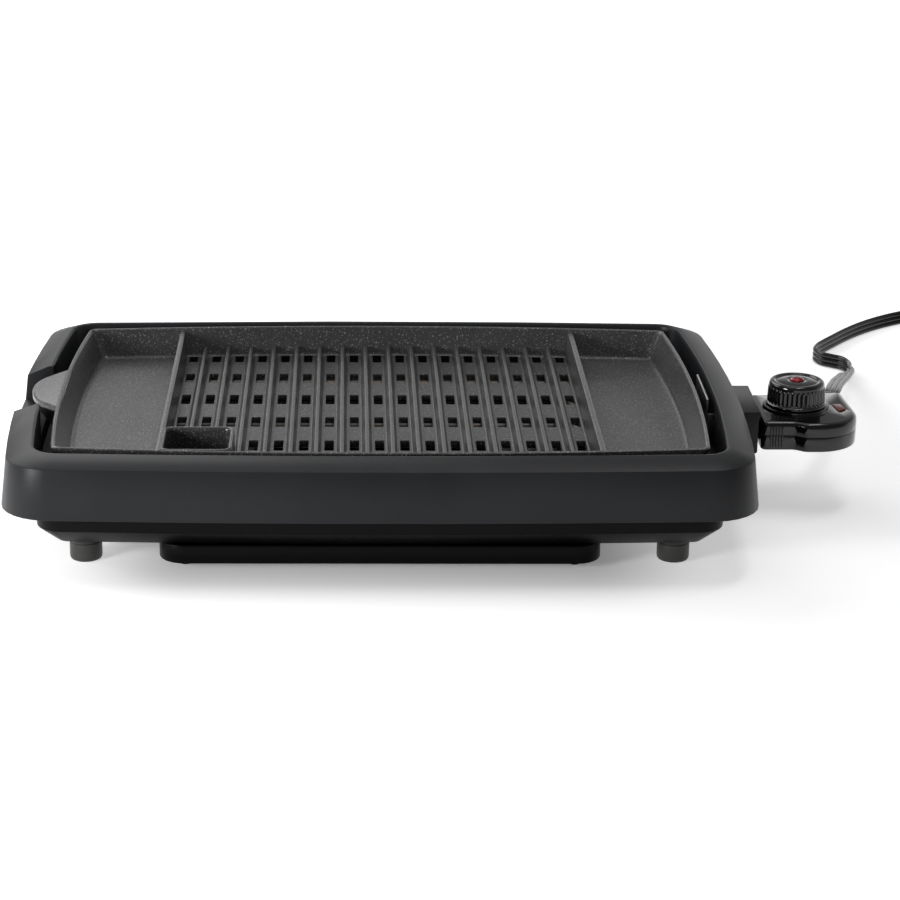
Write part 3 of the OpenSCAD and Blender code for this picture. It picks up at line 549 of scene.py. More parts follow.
class GrillLooks(bpy.types.PropertyGroup):
    """Colours and edge sizes of the grill."""

    housing_colour: colour_setting(
        "Housing", "Colour of the housing's frame", (0.0235, 0.0245, 0.0268)
    )
    base_colour: colour_setting(
        "Base", "Colour of the base and the drip tray", (0.003, 0.003, 0.0032)
    )
    plate_colour: colour_setting("Plate", "Colour of the plate's coating", (0.052, 0.052, 0.052))
    fleck_colour: colour_setting("Flecks", "Colour of the coating's flecks", (0.42, 0.42, 0.41))
    control_colour: colour_setting(
        "Control", "Colour of the control and its knob", (0.005, 0.005, 0.0053)
    )
    cap_colour: colour_setting("Cap", "Colour of the cap on the knob", (0.34, 0.008, 0.02))
    lens_colour: colour_setting("Lens", "Colour of the pilot lamp's lens", (0.3, 0.05, 0.02))
    cord_colour: colour_setting(
        "Cord", "Colour of the cord and its plug", (0.006, 0.006, 0.0062)
    )
    edge: bpy.props.FloatProperty(
        name="Edges",
        description="Rounding of edges: half of it on the housing, three quarters on the base",
        default=0.0008, min=0.0001, max=0.002, subtype="DISTANCE", unit="LENGTH", precision=5,
    )


def strength_setting(name, description, default, unit="NONE"):
    return bpy.props.FloatProperty(
        name=name, description=description, default=default, min=0.0, unit=unit
    )


class GrillStage(bpy.types.PropertyGroup):
    """Lamps and floor round the grill."""

    key: strength_setting(
        "Key lamp", "Power of the soft lamp at the upper left, behind", 14.0, "POWER"
    )
    top: strength_setting("Top lamp", "Power of the lamp above", 4.5, "POWER")
    side: strength_setting("Side lamp", "Power of the low lamp at the left", 4.0, "POWER")
    front: strength_setting("Front lamp", "Power of the low lamp at the left front", 11.0, "POWER")
    glint: strength_setting(
        "Glint lamp", "Power of the narrow lamp that draws the edges", 1.6, "POWER"
    )
    fill: strength_setting("Fill", "Strength of the light from all round", 0.15)
    # painted shadow: added light on the floor under the grill, kept lower than around it
    under: strength_setting("Floor under", "Light added to the floor under the grill", 0.19)
    floor: strength_setting("Floor around", "Light added to the floor around the grill", 0.55)


# ---- Operators ------------------------------------------------------------------------------

# Where the cord runs, in mm from the middle of the housing, with its turn onto its edge in degrees
ROUTE = [
    (328.5, 92, 52.5, 0), (336.2, 120, 47, 0), (345, 150, 40.5, 5), (353, 179, 34, 15),
    (360, 206, 26.5, 35), (365, 230, 19.5, 55), (369.5, 252, 12.5, 70), (373, 270, 8, 82),
    (376, 286, 6.2, 88), (373.5, 298.5, 6, 90), (366, 305.5, 6, 90), (359, 312, 6, 90),
    (356.3, 323, 6, 90), (359.5, 334.5, 6, 90), (366.5, 346, 6, 90), (376.5, 360, 6, 90),
    (388.5, 376.5, 6, 90), (403, 394, 6, 90), (419, 410, 6, 90), (437, 424.5, 6, 90),
    (455, 436, 6, 90), (473, 445.5, 6, 90), (490, 453.5, 6, 90),
]
CORD_W, CORD_T = 11.5, 4.2

# The sleeve at the control, in mm: place, heading, length, and its width and height at each end
RELIEF = Vector((257.0 + 0.79 * 67.5, 36.5, 55.5))
RELIEF_TURN = math.radians(20)
RELIEF_DIR = Vector((math.sin(RELIEF_TURN), math.cos(RELIEF_TURN), 0))
RELIEF_LENGTH = 24.0
RELIEF_ROOT, RELIEF_TIP = (15.4, 9.8), (13.6, 7.4)

# The stored loop, in mm: its radius, how far a turn closes in, and its turns and CAD points a turn
LOOP_R, LOOP_INWARD, LOOP_TURNS, LOOP_POINTS = 62.0, 5.6, 1.2, 24
LOOP_FINE = 3  # steps of the shown cord from one CAD point to the next
LOOP_SLACK = 0.8  # keeps the shown cord inside the CAD coil, which has fewer points

# The lead from the loop to the plug, in mm: the radius and sweep of its bend, and its last height
LEAD_R, LEAD_SWEEP, LEAD_STEPS, PLUG_Z = 27.0, math.radians(96), 21, 12.9


def spline(rows, steps):
    """A smooth line through rows of numbers, with that many steps per stretch."""
    rows = np.array(rows, float)
    out = []
    for i in range(len(rows) - 1):
        a, b, c, d = rows[max(i - 1, 0)], rows[i], rows[i + 1], rows[min(i + 2, len(rows) - 1)]
        for k in range(steps):
            t = k / steps
            square, cube = 2 * a - 5 * b + 4 * c - d, 3 * b - a - 3 * c + d
            out.append(0.5 * (2 * b + (c - a) * t + square * t * t + cube * t ** 3))
    return out


def cord_line():
    """The cord's middle line, as rows of x, y, z and turn, and the plug's place and heading."""
    start = RELIEF + RELIEF_LENGTH * RELIEF_DIR
    second = start + 12 * RELIEF_DIR
    rows = [(*start, 0), (*second, 0), *ROUTE]
    line = spline(rows, 8)

    # the loop winds inward from the run's last point
    last, before = np.array(rows[-1][:3], float), np.array(rows[-2][:3], float)
    head = (last - before) / np.linalg.norm(last - before)
    first = math.atan2(head[0], -head[1])
    middle = last[:2] - LOOP_R * np.array([math.cos(first), math.sin(first)])
    points, steps = round(LOOP_POINTS * LOOP_TURNS), LOOP_POINTS * LOOP_FINE
    for k in range(points * LOOP_FINE):
        a, r = first - math.tau * k / steps, LOOP_R - LOOP_INWARD * k / steps
        r -= LOOP_SLACK * min(1.0, k / 9)
        line.append(np.array([
            middle[0] + r * math.cos(a), middle[1] + r * math.sin(a), last[2], 90.0,
        ]))

    # the lead bends off the loop's end and rises to the plug
    a1 = first - math.tau * points / LOOP_POINTS
    r1 = LOOP_R - LOOP_INWARD * points / LOOP_POINTS
    bend = middle + (r1 - LEAD_R) * np.array([math.cos(a1), math.sin(a1)])
    for k in range(LEAD_STEPS + 1):
        a = a1 - LEAD_SWEEP * k / LEAD_STEPS
        line.append(np.array([
            bend[0] + LEAD_R * math.cos(a), bend[1] + LEAD_R * math.sin(a),
            last[2] + (PLUG_Z - last[2]) * k / LEAD_STEPS, 90.0,
        ]))
    a = a1 - LEAD_SWEEP
    ahead = np.array([math.sin(a), -math.cos(a), 0.0])
    for _ in range(3):
        line.append(np.array([*line[-1][:3], 90.0]) + np.array([*(4 * ahead), 0.0]))
    return line, line[-1][:3], ahead


def three_core_section():
    """Outline of three cores side by side, in mm: width along the first axis."""
    r, pitch = CORD_T / 2, (CORD_W - CORD_T) / 2
    cut = math.acos(pitch / 2 / r)
    points = []
    for middle, a0, a1, n in (
        (pitch, -(math.pi - cut), math.pi - cut, 14),
        (0.0, cut, math.pi - cut, 7),
        (-pitch, cut, math.tau - cut, 14),
        (0.0, math.pi + cut, math.tau - cut, 7),
    ):
        for k in range(n):
            a = a0 + (a1 - a0) * k / n
            points.append((middle + r * math.cos(a), r * math.sin(a)))
    return points


def tube(name, line, section, angle=50):
    """A tube through the rows of a line, with the section turned by each row's last number."""
    centre = np.array([row[:3] for row in line])
    rings = []
    for i, row in enumerate(line):
        ahead = centre[min(i + 1, len(line) - 1)] - centre[max(i - 1, 0)]
        ahead /= np.linalg.norm(ahead)
        flat = np.cross(ahead, (0, 0, 1))
        flat /= np.linalg.norm(flat)
        rise = np.cross(flat, ahead)
        roll = math.radians(row[3])
        u = math.cos(roll) * flat + math.sin(roll) * rise
        v = np.cross(u, ahead)
        rings.append([at(*(centre[i] + p * u + q * v)) for p, q in section])
    return grid_mesh(name, rings, angle=angle)


class GRILL_OT_cord(bpy.types.Operator):
    """Builds the three-core cord, its sleeve at the control and its moulded plug."""

    bl_idname = "grill.cord"
    bl_label = "Cord and plug"

    def execute(self, context):
        line, plug_at, ahead = cord_line()
        cord = new_piece(
            "power_cord", tube("power_cord", line, three_core_section()), "control",
            ["cord_run", "cord_coil"],
        )
        path = [tuple(at(*row[:3])) for row in line]
        new_piece("cord_sleeve", self.sleeve(), "control", ["strain_relief"], "cord_rubber")
        plug = new_piece("plug_moulding", self.plug(plug_at, ahead), "control", ["plug_body"])
        pins = [
            rounded_copy("plug_blades", "control", 0.3),
            rounded_copy("plug_ground_pin", "control", 0.2),
        ]
        return {"FINISHED"}

    def sleeve(self):
        """Ovals from the control's wall to the cord, with four grooves round the sleeve."""
        rings = []
        grooves, groove_half, tip_from = [0.34, 0.5, 0.66, 0.82], 0.035, 0.96
        for k in range(61):
            t = k / 60
            turn = RELIEF_TURN * t
            flare = 1 + 0.1 * max(0.0, 1 - t / 0.08) ** 2
            w = (RELIEF_ROOT[0] + (RELIEF_TIP[0] - RELIEF_ROOT[0]) * t) / 2 * flare
            h = (RELIEF_ROOT[1] + (RELIEF_TIP[1] - RELIEF_ROOT[1]) * t) / 2 * flare
            near = [abs(t - g) for g in grooves if abs(t - g) < groove_half]
            dip = max([0.0] + [1 - (off / groove_half) ** 4 for off in near])
            w, h = w - 0.9 * dip, h - 0.8 * dip
            if t > tip_from:
                ease = math.sqrt(max(0.0, 1 - ((t - tip_from) / (1 - tip_from)) ** 2)) * 0.9
                w, h = w - 0.9 + ease, h - 0.9 + ease
            middle = RELIEF + RELIEF_LENGTH * t * RELIEF_DIR
            along = Vector((math.sin(turn), math.cos(turn), 0))
            across = Vector((along.y, -along.x, 0))
            rings.append([
                at(*(middle + w * math.cos(a) * across + Vector((0, 0, h * math.sin(a)))))
                for a in np.linspace(0, math.tau, 40, endpoint=False)
            ])
        return grid_mesh("cord_sleeve", rings, angle=45)

    def plug(self, plug_at, ahead):
        """Sleeve, shoulder and grip body in one skin along the plug's heading."""
        side = Vector((-ahead[1], ahead[0], 0))
        front, base = Vector(ahead), Vector(plug_at)
        # along the plug, half width, half height, and how square the section is
        stations = []
        for k in range(29):
            t = k / 28
            dip = 0.7 * (1 if k % 7 in (3, 4) and 3 < k < 26 else 0)
            stations.append((14 * t, 7.3 + 0.4 * t - dip, 4.9 + 0.6 * t - dip, 2.0))
        for k in range(1, 11):
            t = k / 10
            ease = t * t * (3 - 2 * t)
            stations.append((14 + 5.5 * t, 7.7 + 5.3 * ease, 5.5 + 6.9 * ease, 2.0 + 1.2 * ease))
        for s, inset in ((21, 0), (23, 0.0), (23.6, 0.5), (24.6, 0.5), (25.2, 0), (26.8, 0),
                         (27.4, 0.5), (28.4, 0.5), (29, 0), (32.6, 0), (33.5, 0.35),
                         (33.9, 0.9), (34, 1.6)):
            stations.append((s, 13.2 - inset, 12.5 - inset, 3.2))
        rings = []
        for s, w, h, power in stations:
            ring = []
            for a in np.linspace(0, math.tau, 48, endpoint=False):
                c, d = math.cos(a), math.sin(a)
                ring.append(at(*(
                    base + s * front + math.copysign(abs(c) ** (2 / power), c) * w * side
                    + Vector((0, 0, math.copysign(abs(d) ** (2 / power), d) * h))
                )))
            rings.append(ring)
        return grid_mesh("plug_moulding", rings, angle=42)


class GRILL_OT_housing(bpy.types.Operator):
    """Rounds the edges of the housing, base and feet and gives them their finish."""

    bl_idname = "grill.housing"
    bl_label = "Housing, base and feet"

    def execute(self, context):
        edge = context.scene.grill_looks.edge / MM
        rounded_copy("housing", "base", 0.5 * edge, angle=34)
        rounded_copy("base_pan", "base", 0.75 * edge, angle=26)
        for name in ("foot_front_left", "foot_front_right", "foot_rear_left", "foot_rear_right"):
            low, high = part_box(name)
            x, y = (low.x + high.x) / 2, (low.y + high.y) / 2
            r = (high.x - low.x) / 2
            hole = 0.62 * r
            profile = [
                (hole, 0.0002), (hole, 0.0), (r - 0.0014, 0.0), (r - 0.0007, 0.0004),
                (r - 0.0002, 0.0012), (r, 0.0024), (r, 0.0118), (r - 0.0005, 0.0124),
                (r - 0.0005, 0.0134), (r, 0.014), (r, high.z), (hole, high.z),
            ]
            rings = [
                [
                    (x + q * math.cos(a), y + q * math.sin(a), z)
                    for a in np.linspace(0, math.tau, 56, endpoint=False)
                ]
                for q, z in profile
            ]
            mesh = grid_mesh(name + "_looks", rings, closed=True, angle=35)
            new_piece(name + "_looks", mesh, "base", [name])
        return {"FINISHED"}


# The plate, in mm: the same outline, walls, ribs and slots as its CAD node
PLATE_W, PLATE_D = 417.0, 266.0
PLATE_BOW_X, PLATE_BOW_Y = 6.5, 10.0
PLATE_TOP, PLATE_FLOOR, PLATE_UNDER = 82.0, 62.0, 58.5
DIVIDER_X, DIVIDER_TOP, BAYS = 141.0, 79.5, 17
BAY = 2 * DIVIDER_X / BAYS
RIB_TOP, RIB_HALF = 69.0, 1.5
SLOT_ROWS, SLOT_PITCH, SLOT_W, SLOT_L = 6, 49.0, 6.0, 20.0
POUR_MIDDLE, POUR_SIZE, POUR_WALL = (-117.5, -106.0), (47.0, 48.0), 3.2
POUR_FRONT, POUR_OPEN = -122.0, 40.0
LUG_ROOT, LUG_Y, LUG_OUT, LUG_W = 212.0, -3.0, 22.0, 88.0
PLATE_FOOT_X, PLATE_FOOT_Y = 190.0, 112.0


def quarter(cx, cy, r, a0, steps):
    """A quarter of a circle as points, from the angle a0 in degrees."""
    turns = [math.radians(a0 + 90 * k / steps) for k in range(steps + 1)]
    return [(cx + r * math.cos(a), cy + r * math.sin(a)) for a in turns]


def rounded_plan(w, d, r, steps=8, long_steps=0, short_steps=0):
    """A rounded rectangle as points, with points along its sides too."""
    a, b = w / 2 - r, d / 2 - r

    def between(p, q, n):
        (px, py), (qx, qy) = p, q
        return [(px + (qx - px) * k / n, py + (qy - py) * k / n) for k in range(1, n)]

    return (
        quarter(a, b, r, 0, steps) + between((a, d / 2), (-a, d / 2), long_steps)
        + quarter(-a, b, r, 90, steps) + between((-w / 2, b), (-w / 2, -b), short_steps)
        + quarter(-a, -b, r, 180, steps) + between((-a, -d / 2), (a, -d / 2), long_steps)
        + quarter(a, -b, r, 270, steps) + between((w / 2, -b), (w / 2, b), short_steps)
    )


def plate_plan(inset, fillet=4.0):
    """The plate's outline in mm, set in from its rim, with its sides bowed outward."""
    w, d = PLATE_W - 2 * inset, PLATE_D - 2 * inset
    bow_x, bow_y = 2 * PLATE_BOW_X / w, 2 * PLATE_BOW_Y / d
    return [
        (x * (1 + bow_x * (1 - (2 * y / d) ** 2)), y * (1 + bow_y * (1 - (2 * x / w) ** 2)))
        for x, y in rounded_plan(w, d, fillet, 10, 32, 20)
    ]


def wall_inset(z):
    """How far the middle of the drafted wall is set in from the rim, at that height."""
    outer = 8.0 - 7.4 * max(0.0, min(1.0, (z - PLATE_UNDER) / 21.5))
    inner = 11.0 - 8.0 * max(0.0, min(1.0, (z - PLATE_FLOOR) / 19.0))
    return (outer + inner) / 2


def wall_y(x, z):
    """How far from the middle the middle of the long walls is, at that x and height."""
    inset = wall_inset(z)
    bow = PLATE_BOW_Y * (1 - (2 * x / (PLATE_W - 2 * inset)) ** 2)
    return (PLATE_D - 2 * inset) / 2 + bow


def cut_away(piece_mesh, tools, name):
    """The mesh less a set of closed meshes."""
    body = bpy.data.objects.new("body", piece_mesh)
    tool = bpy.data.objects.new("tool", join_meshes("tool", tools))
    for thing in (body, tool):
        bpy.context.scene.collection.objects.link(thing)
    cut = body.modifiers.new("cut", "BOOLEAN")
    cut.operation, cut.object, cut.solver, cut.use_self = "DIFFERENCE", tool, "EXACT", True
    graph = bpy.context.evaluated_depsgraph_get()
    done = bpy.data.meshes.new_from_object(body.evaluated_get(graph), depsgraph=graph)
    done.name = name
    for thing in (body, tool):
        mesh = thing.data
        bpy.data.objects.remove(thing)
        bpy.data.meshes.remove(mesh)
    return done


class GRILL_OT_plate(bpy.types.Operator):
    """Builds the cast grill plate: pan, drain slots, ribs, dividers, pour fence, lug and feet."""

    bl_idname = "grill.plate"
    bl_label = "Grill plate"

    def execute(self, context):
        shell = cut_away(self.shell(), [*self.slots(), self.pour_hole()], "plate_shell")
        parts = [shell, self.fence(), self.lug(), self.gusset(), *self.bars(), *self.feet()]
        mesh = join_meshes("grill_plate_looks", parts, angle=40)
        new_piece("grill_plate_looks", mesh, "plate", ["grill_plate"])
        return {"FINISHED"}

    def shell(self):
        """The pan: its underside, walls, rolled rim, inner walls and coved floor."""
        rows = [
            (11.0, PLATE_UNDER), (9.4, PLATE_UNDER), (8.6, 58.75), (8.05, 59.4), (7.6, 60.4),
            (1.1, 78.8), (0.7, 80.0), (0.35, 81.2), (0.75, 81.75), (1.35, PLATE_TOP),
            (1.7, PLATE_TOP), (2.25, 81.8), (2.75, 81.2), (3.3, 80.0), (9.3, 65.0),
            (10.0, 63.6), (10.9, 62.7), (12.0, 62.15), (13.4, PLATE_FLOOR),
        ]
        rings = [
            [at(x, y, z) for x, y in plate_plan(inset, 4.0 if inset < 12 else 3.5)]
            for inset, z in rows
        ]
        return grid_mesh("plate_shell", rings)

    def slots(self):
        """Cutters for the drain slots between the ribs, with none inside the pour fence."""
        out = []
        plan = rounded_plan(SLOT_W, SLOT_L, 0.9, 3)
        for k in range(SLOT_ROWS):
            for i in range(BAYS):
                x = -DIVIDER_X + BAY * (i + 0.5)
                y = -SLOT_PITCH * (SLOT_ROWS - 1) / 2 + 4 + SLOT_PITCH * k
                beside = x - SLOT_W / 2 > POUR_MIDDLE[0] + POUR_SIZE[0] / 2
                if beside or y - SLOT_L / 2 > POUR_FRONT + POUR_OPEN:
                    out.append(grid_mesh("slot", [
                        [at(x + g * p, y + g * q, z) for p, q in plan]
                        for z, g in ((57.0, 1.0), (61.2, 1.0), (61.75, 1.02), (62.5, 1.09))
                    ]))
        return out

    def pour_hole(self):
        """Cutter for the opening inside the fence."""
        w, d = POUR_SIZE[0] - 2 * POUR_WALL, POUR_OPEN - 2 * POUR_WALL
        y = POUR_FRONT + POUR_OPEN / 2 + 1.5
        return grid_mesh("pour_hole", [
            [at(POUR_MIDDLE[0] + p, y + q, z) for p, q in rounded_plan(w, d, 4.0, 5)]
            for z in (57.0, 63.0)
        ])

    def fence(self):
        """Wall round the pour opening, with a rolled top that meets the front wall."""
        rows = [
            (0.0, 60.5), (0.0, 63.0), (0.25, 76.5), (0.35, 78.2), (0.7, 79.1), (1.3, 79.5),
            (2.0, 79.5), (2.6, 79.1), (3.0, 78.2), (3.15, 76.5), (3.3, 59.5), (1.6, 59.2),
        ]
        rings = []
        for inset, z in rows:
            ring = []
            w, d = POUR_SIZE[0] - 2 * inset, POUR_SIZE[1] - 2 * inset
            for x, y in rounded_plan(w, d, 7 - inset, 8, 12, 6):
                x, y = x + POUR_MIDDLE[0], y + POUR_MIDDLE[1]
                ring.append(at(x, max(y, -wall_y(x, z)), z))
            rings.append(ring)
        return grid_mesh("fence", rings, closed=True)

    def bar(self, x, half, top, lean, roll, start=None, stations=24):
        """A bar with a rolled top and coved feet, from the front wall or start to the rear."""
        side = []
        for k in range(5):
            a = math.pi / 2 - math.radians(90 * k / 4)
            side.append((half - roll + roll * math.cos(a), top - roll + roll * math.sin(a)))
        foot = half + lean * (1 - 1.2 / (top - PLATE_FLOOR))
        side += [
            (foot, PLATE_FLOOR + 1.2), (foot + 0.3, PLATE_FLOOR + 0.55),
            (foot + 0.8, PLATE_FLOOR + 0.15), (foot + 1.5, PLATE_FLOOR - 0.05),
            (foot + 1.5, PLATE_FLOOR - 1.2),
        ]
        profile = side + [(-p, z) for p, z in reversed(side)]
        rings = []
        for k in range(stations + 1):
            ring = []
            for p, z in profile:
                far = wall_y(x + p, z)
                near = -far if start is None else start
                ring.append(at(x + p, near + (far - near) * k / stations, z))
            rings.append(ring)
        return grid_mesh("bar", rings)

    def bars(self):
        """The two dividers, and the ribs between them, some of which start behind the fence."""
        made = [self.bar(s * DIVIDER_X, 2.0, DIVIDER_TOP, 1.45, 1.1) for s in (-1, 1)]
        for i in range(1, BAYS):
            x = -DIVIDER_X + BAY * i
            behind = x - RIB_HALF < POUR_MIDDLE[0] + POUR_SIZE[0] / 2
            start = POUR_MIDDLE[1] + POUR_SIZE[1] / 2 - 1.6 if behind else None
            made.append(self.bar(x, RIB_HALF, RIB_TOP, 1.4, 0.9, start))
        return made

    def lug(self):
        """The lift lug, a rounded tongue over the finger notch."""
        shape = [(-1, 0), (-0.8, 0.36), (-0.62, 0.68), (-0.4, 0.88), (-0.15, 0.98), (0.1, 1),
                 (0.32, 0.92), (0.52, 0.74), (0.75, 0.42), (1, 0)]
        outline = [(-LUG_ROOT - q * LUG_OUT, LUG_Y + p * LUG_W / 2) for p, q in shape]
        edge = spline(outline, 5) + [np.array((-LUG_ROOT, LUG_Y + LUG_W / 2))]
        middle = np.array((-LUG_ROOT + 2.0, LUG_Y))
        rings = []
        for inset, z in ((1.6, 75.5), (0.5, 75.8), (0.0, 76.6), (0.0, 79.2), (0.35, 80.0),
                         (1.0, 80.4), (2.0, 80.5)):
            ring = []
            for i, p in enumerate(edge):
                along = edge[min(i + 1, len(edge) - 1)] - edge[max(i - 1, 0)]
                inward = np.array((-along[1], along[0])) / np.linalg.norm(along)
                if np.dot(inward, middle - p) < 0:
                    inward = -inward
                q = p + inset * inward
                ring.append(at(q[0], q[1], z))
            ring += [at(-LUG_ROOT + 0.6, 38.0, z), at(-LUG_ROOT + 0.6, -44.0, z)]
            rings.append(ring)
        return grid_mesh("lug", rings)

    def gusset(self):
        """The web under the lug, with its edges eased toward its middle."""
        side = [(-16, 76), (2.4, 76), (4, 60), (0, 57)]
        cx = sum(x for x, _ in side) / 4
        rings = []
        for y, g in ((-30, 0.6), (-29.6, 0.2), (-29, 0.0), (-26, 0.0), (-25.4, 0.2), (-25, 0.6)):
            rings.append([
                at(-214.0 + x + (cx - x) * g * 0.15, y, z - (g * 0.8 if z > 70 else -g * 0.4))
                for x, z in side
            ])
        return grid_mesh("gusset", rings)

    def feet(self):
        """The four feet that the plate stands on when it is lifted out."""
        rows = ((4.4, 49.5), (5.0, 50.1), (5.0, 57.5), (5.8, 59.5))
        turns = np.linspace(0, math.tau, 32, endpoint=False)
        out = []
        for x in (-PLATE_FOOT_X, PLATE_FOOT_X):
            for y in (-PLATE_FOOT_Y, PLATE_FOOT_Y):
                out.append(grid_mesh("foot", [
                    [at(x + r * math.cos(a), y + r * math.sin(a), z) for a in turns]
                    for r, z in rows
                ]))
        return out


class GRILL_OT_tray(bpy.types.Operator):
    """Rounds the drip tray's edges."""

    bl_idname = "grill.tray"
    bl_label = "Drip tray"

    def execute(self, context):
        rounded_copy("drip_tray", "tray", 0.7, angle=26)
        return {"FINISHED"}


class GRILL_OT_metalwork(bpy.types.Operator):
    """Rounds the reflector and the sheet guard at the control's port."""

    bl_idname = "grill.metalwork"
    bl_label = "Reflector and guard"

    def execute(self, context):
        rounded_copy("reflector", "base", 0.35)
        rounded_copy("terminal_guard", "base", 0.25)
        rounded_copy("element_clips", "base", 0.3)
        return {"FINISHED"}


class GRILL_OT_control(bpy.types.Operator):
    """Builds the control's covers, its lens and the fluted knob with its cap."""

    bl_idname = "grill.control"
    bl_label = "Control and knob"

    def execute(self, context):
        rounded_copy("control_cover", "control", 0.3, angle=32)
        rounded_copy("control_bottom", "control", 0.3, angle=32)
        rounded_copy("pilot_lens", "control", 0.35, angle=30, segments=3)
        self.knob()
        self.cap()
        return {"FINISHED"}

    def knob(self):
        """The fluted knob, with its collar, its dished top and the rim round its cap."""
        low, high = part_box("knob")
        x, y = (low.x + high.x) / 2, (low.y + high.y) / 2
        r, h = (high.x - low.x) / 2, high.z - low.z
        flutes, per = 36, 10
        # height, radius, depth of the flutes there
        rows = [
            (0.0, r - 0.0006, 0), (0.0003, r - 0.0001, 0), (0.0012, r, 0), (0.0017, r - 0.0002, 0),
            (0.002, r - 0.0009, 0), (0.0023, r - 0.0011, 0.3), (0.0031, r - 0.00095, 0.9),
            (0.005, r - 0.001, 1), (0.008, r - 0.00115, 1), (0.011, r - 0.0013, 1),
            (0.0121, r - 0.0014, 0.8), (0.0127, r - 0.0016, 0.3), (0.013, r - 0.0019, 0),
            (0.0134, r - 0.0018, 0), (0.0137, r - 0.0017, 0), (h - 0.0016, r - 0.002, 0),
            (h - 0.001, r - 0.00235, 0), (h - 0.0005, r - 0.0029, 0), (h - 0.0002, r - 0.0036, 0),
            (h - 0.0001, r - 0.0045, 0), (h - 0.0002, r - 0.0055, 0), (h - 0.0009, r - 0.0063, 0),
            (h - 0.0011, r - 0.0069, 0), (h - 0.0009, r - 0.0076, 0), (h - 0.0004, r - 0.0095, 0),
            (h - 0.0001, r - 0.0125, 0), (h, 0.0058, 0), (h - 0.0003, 0.0053, 0),
            (h - 0.001, 0.0051, 0),
        ]
        rings = []
        for z, radius, share in rows:
            ring = []
            for i in range(flutes * per):
                a = math.tau * i / (flutes * per)
                wave = abs(math.sin(0.5 * flutes * a)) ** 1.4
                q = radius - 0.00095 * share * (1 - wave)
                ring.append((x + q * math.cos(a), y + q * math.sin(a), low.z + z))
            rings.append(ring)
        new_piece("knob_looks", grid_mesh("knob_looks", rings, angle=50), "dial", ["knob"])

    def cap(self):
        """The cap, faceted like a cut stone."""
        low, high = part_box("knob_cap")
        x, y = (low.x + high.x) / 2, (low.y + high.y) / 2
        r, h = (high.x - low.x) / 2, high.z - low.z
        sides = 12
        rings = []
        rows = ((r, 0, 0), (r, 0.42 * h, 0), (0.94 * r, 0.52 * h, 0), (0.74 * r, 0.8 * h, 0.5),
                (0.4 * r, 0.97 * h, 0), (0.34 * r, h, 0))
        for radius, z, twist in rows:
            turns = [math.tau * (i + twist) / sides for i in range(sides)]
            rings.append([
                (x + radius * math.cos(a), y + radius * math.sin(a), low.z + z) for a in turns
            ])
        mesh = grid_mesh("knob_cap_looks", rings, angle=12)
        new_piece("knob_cap_looks", mesh, "dial", ["knob_cap"])


class GRILL_OT_carried(bpy.types.Operator):
    """Gives every CAD piece that still shows its material and smooth shading."""

    bl_idname = "grill.carried"
    bl_label = "Carried CAD pieces"

    def execute(self, context):
        for name, node in NODES.items():
            if node.hide_render:
                continue
            node.data.materials.clear()
            node.data.materials.append(material(SLOT_OF[name]))
            soften(node.data, 32)
        return {"FINISHED"}


# The camera: its place in metres, its turns in degrees, its lens in mm and its shift
CAMERA_PLACE = (-0.05973, -1.68625, 0.61597)
CAMERA_YAW, CAMERA_PITCH, CAMERA_ROLL = 0.77, 19.02, 0.35
CAMERA_SENSOR, CAMERA_LENS, CAMERA_SHIFT = 36.0, 104.202, (0.07643, 0.0005)

# The floor's painted shadow under the housing, a darker patch, in metres: its middle, half its side
# and its fade
SHADOW_PATCH_X, SHADOW_PATCH_HALF, SHADOW_PATCH_FADE = -0.035, 0.125, 0.09
# Painted shadow to the right of the grill, where its cast shadow falls
SHADOW_SLOPE, SHADOW_SLOPE_REACH = 0.35, 0.35  # how much greyer it gets to the right, and how far out
FLOOR_WHITE_FROM, FLOOR_WHITE_AT = 0.3, 1.0


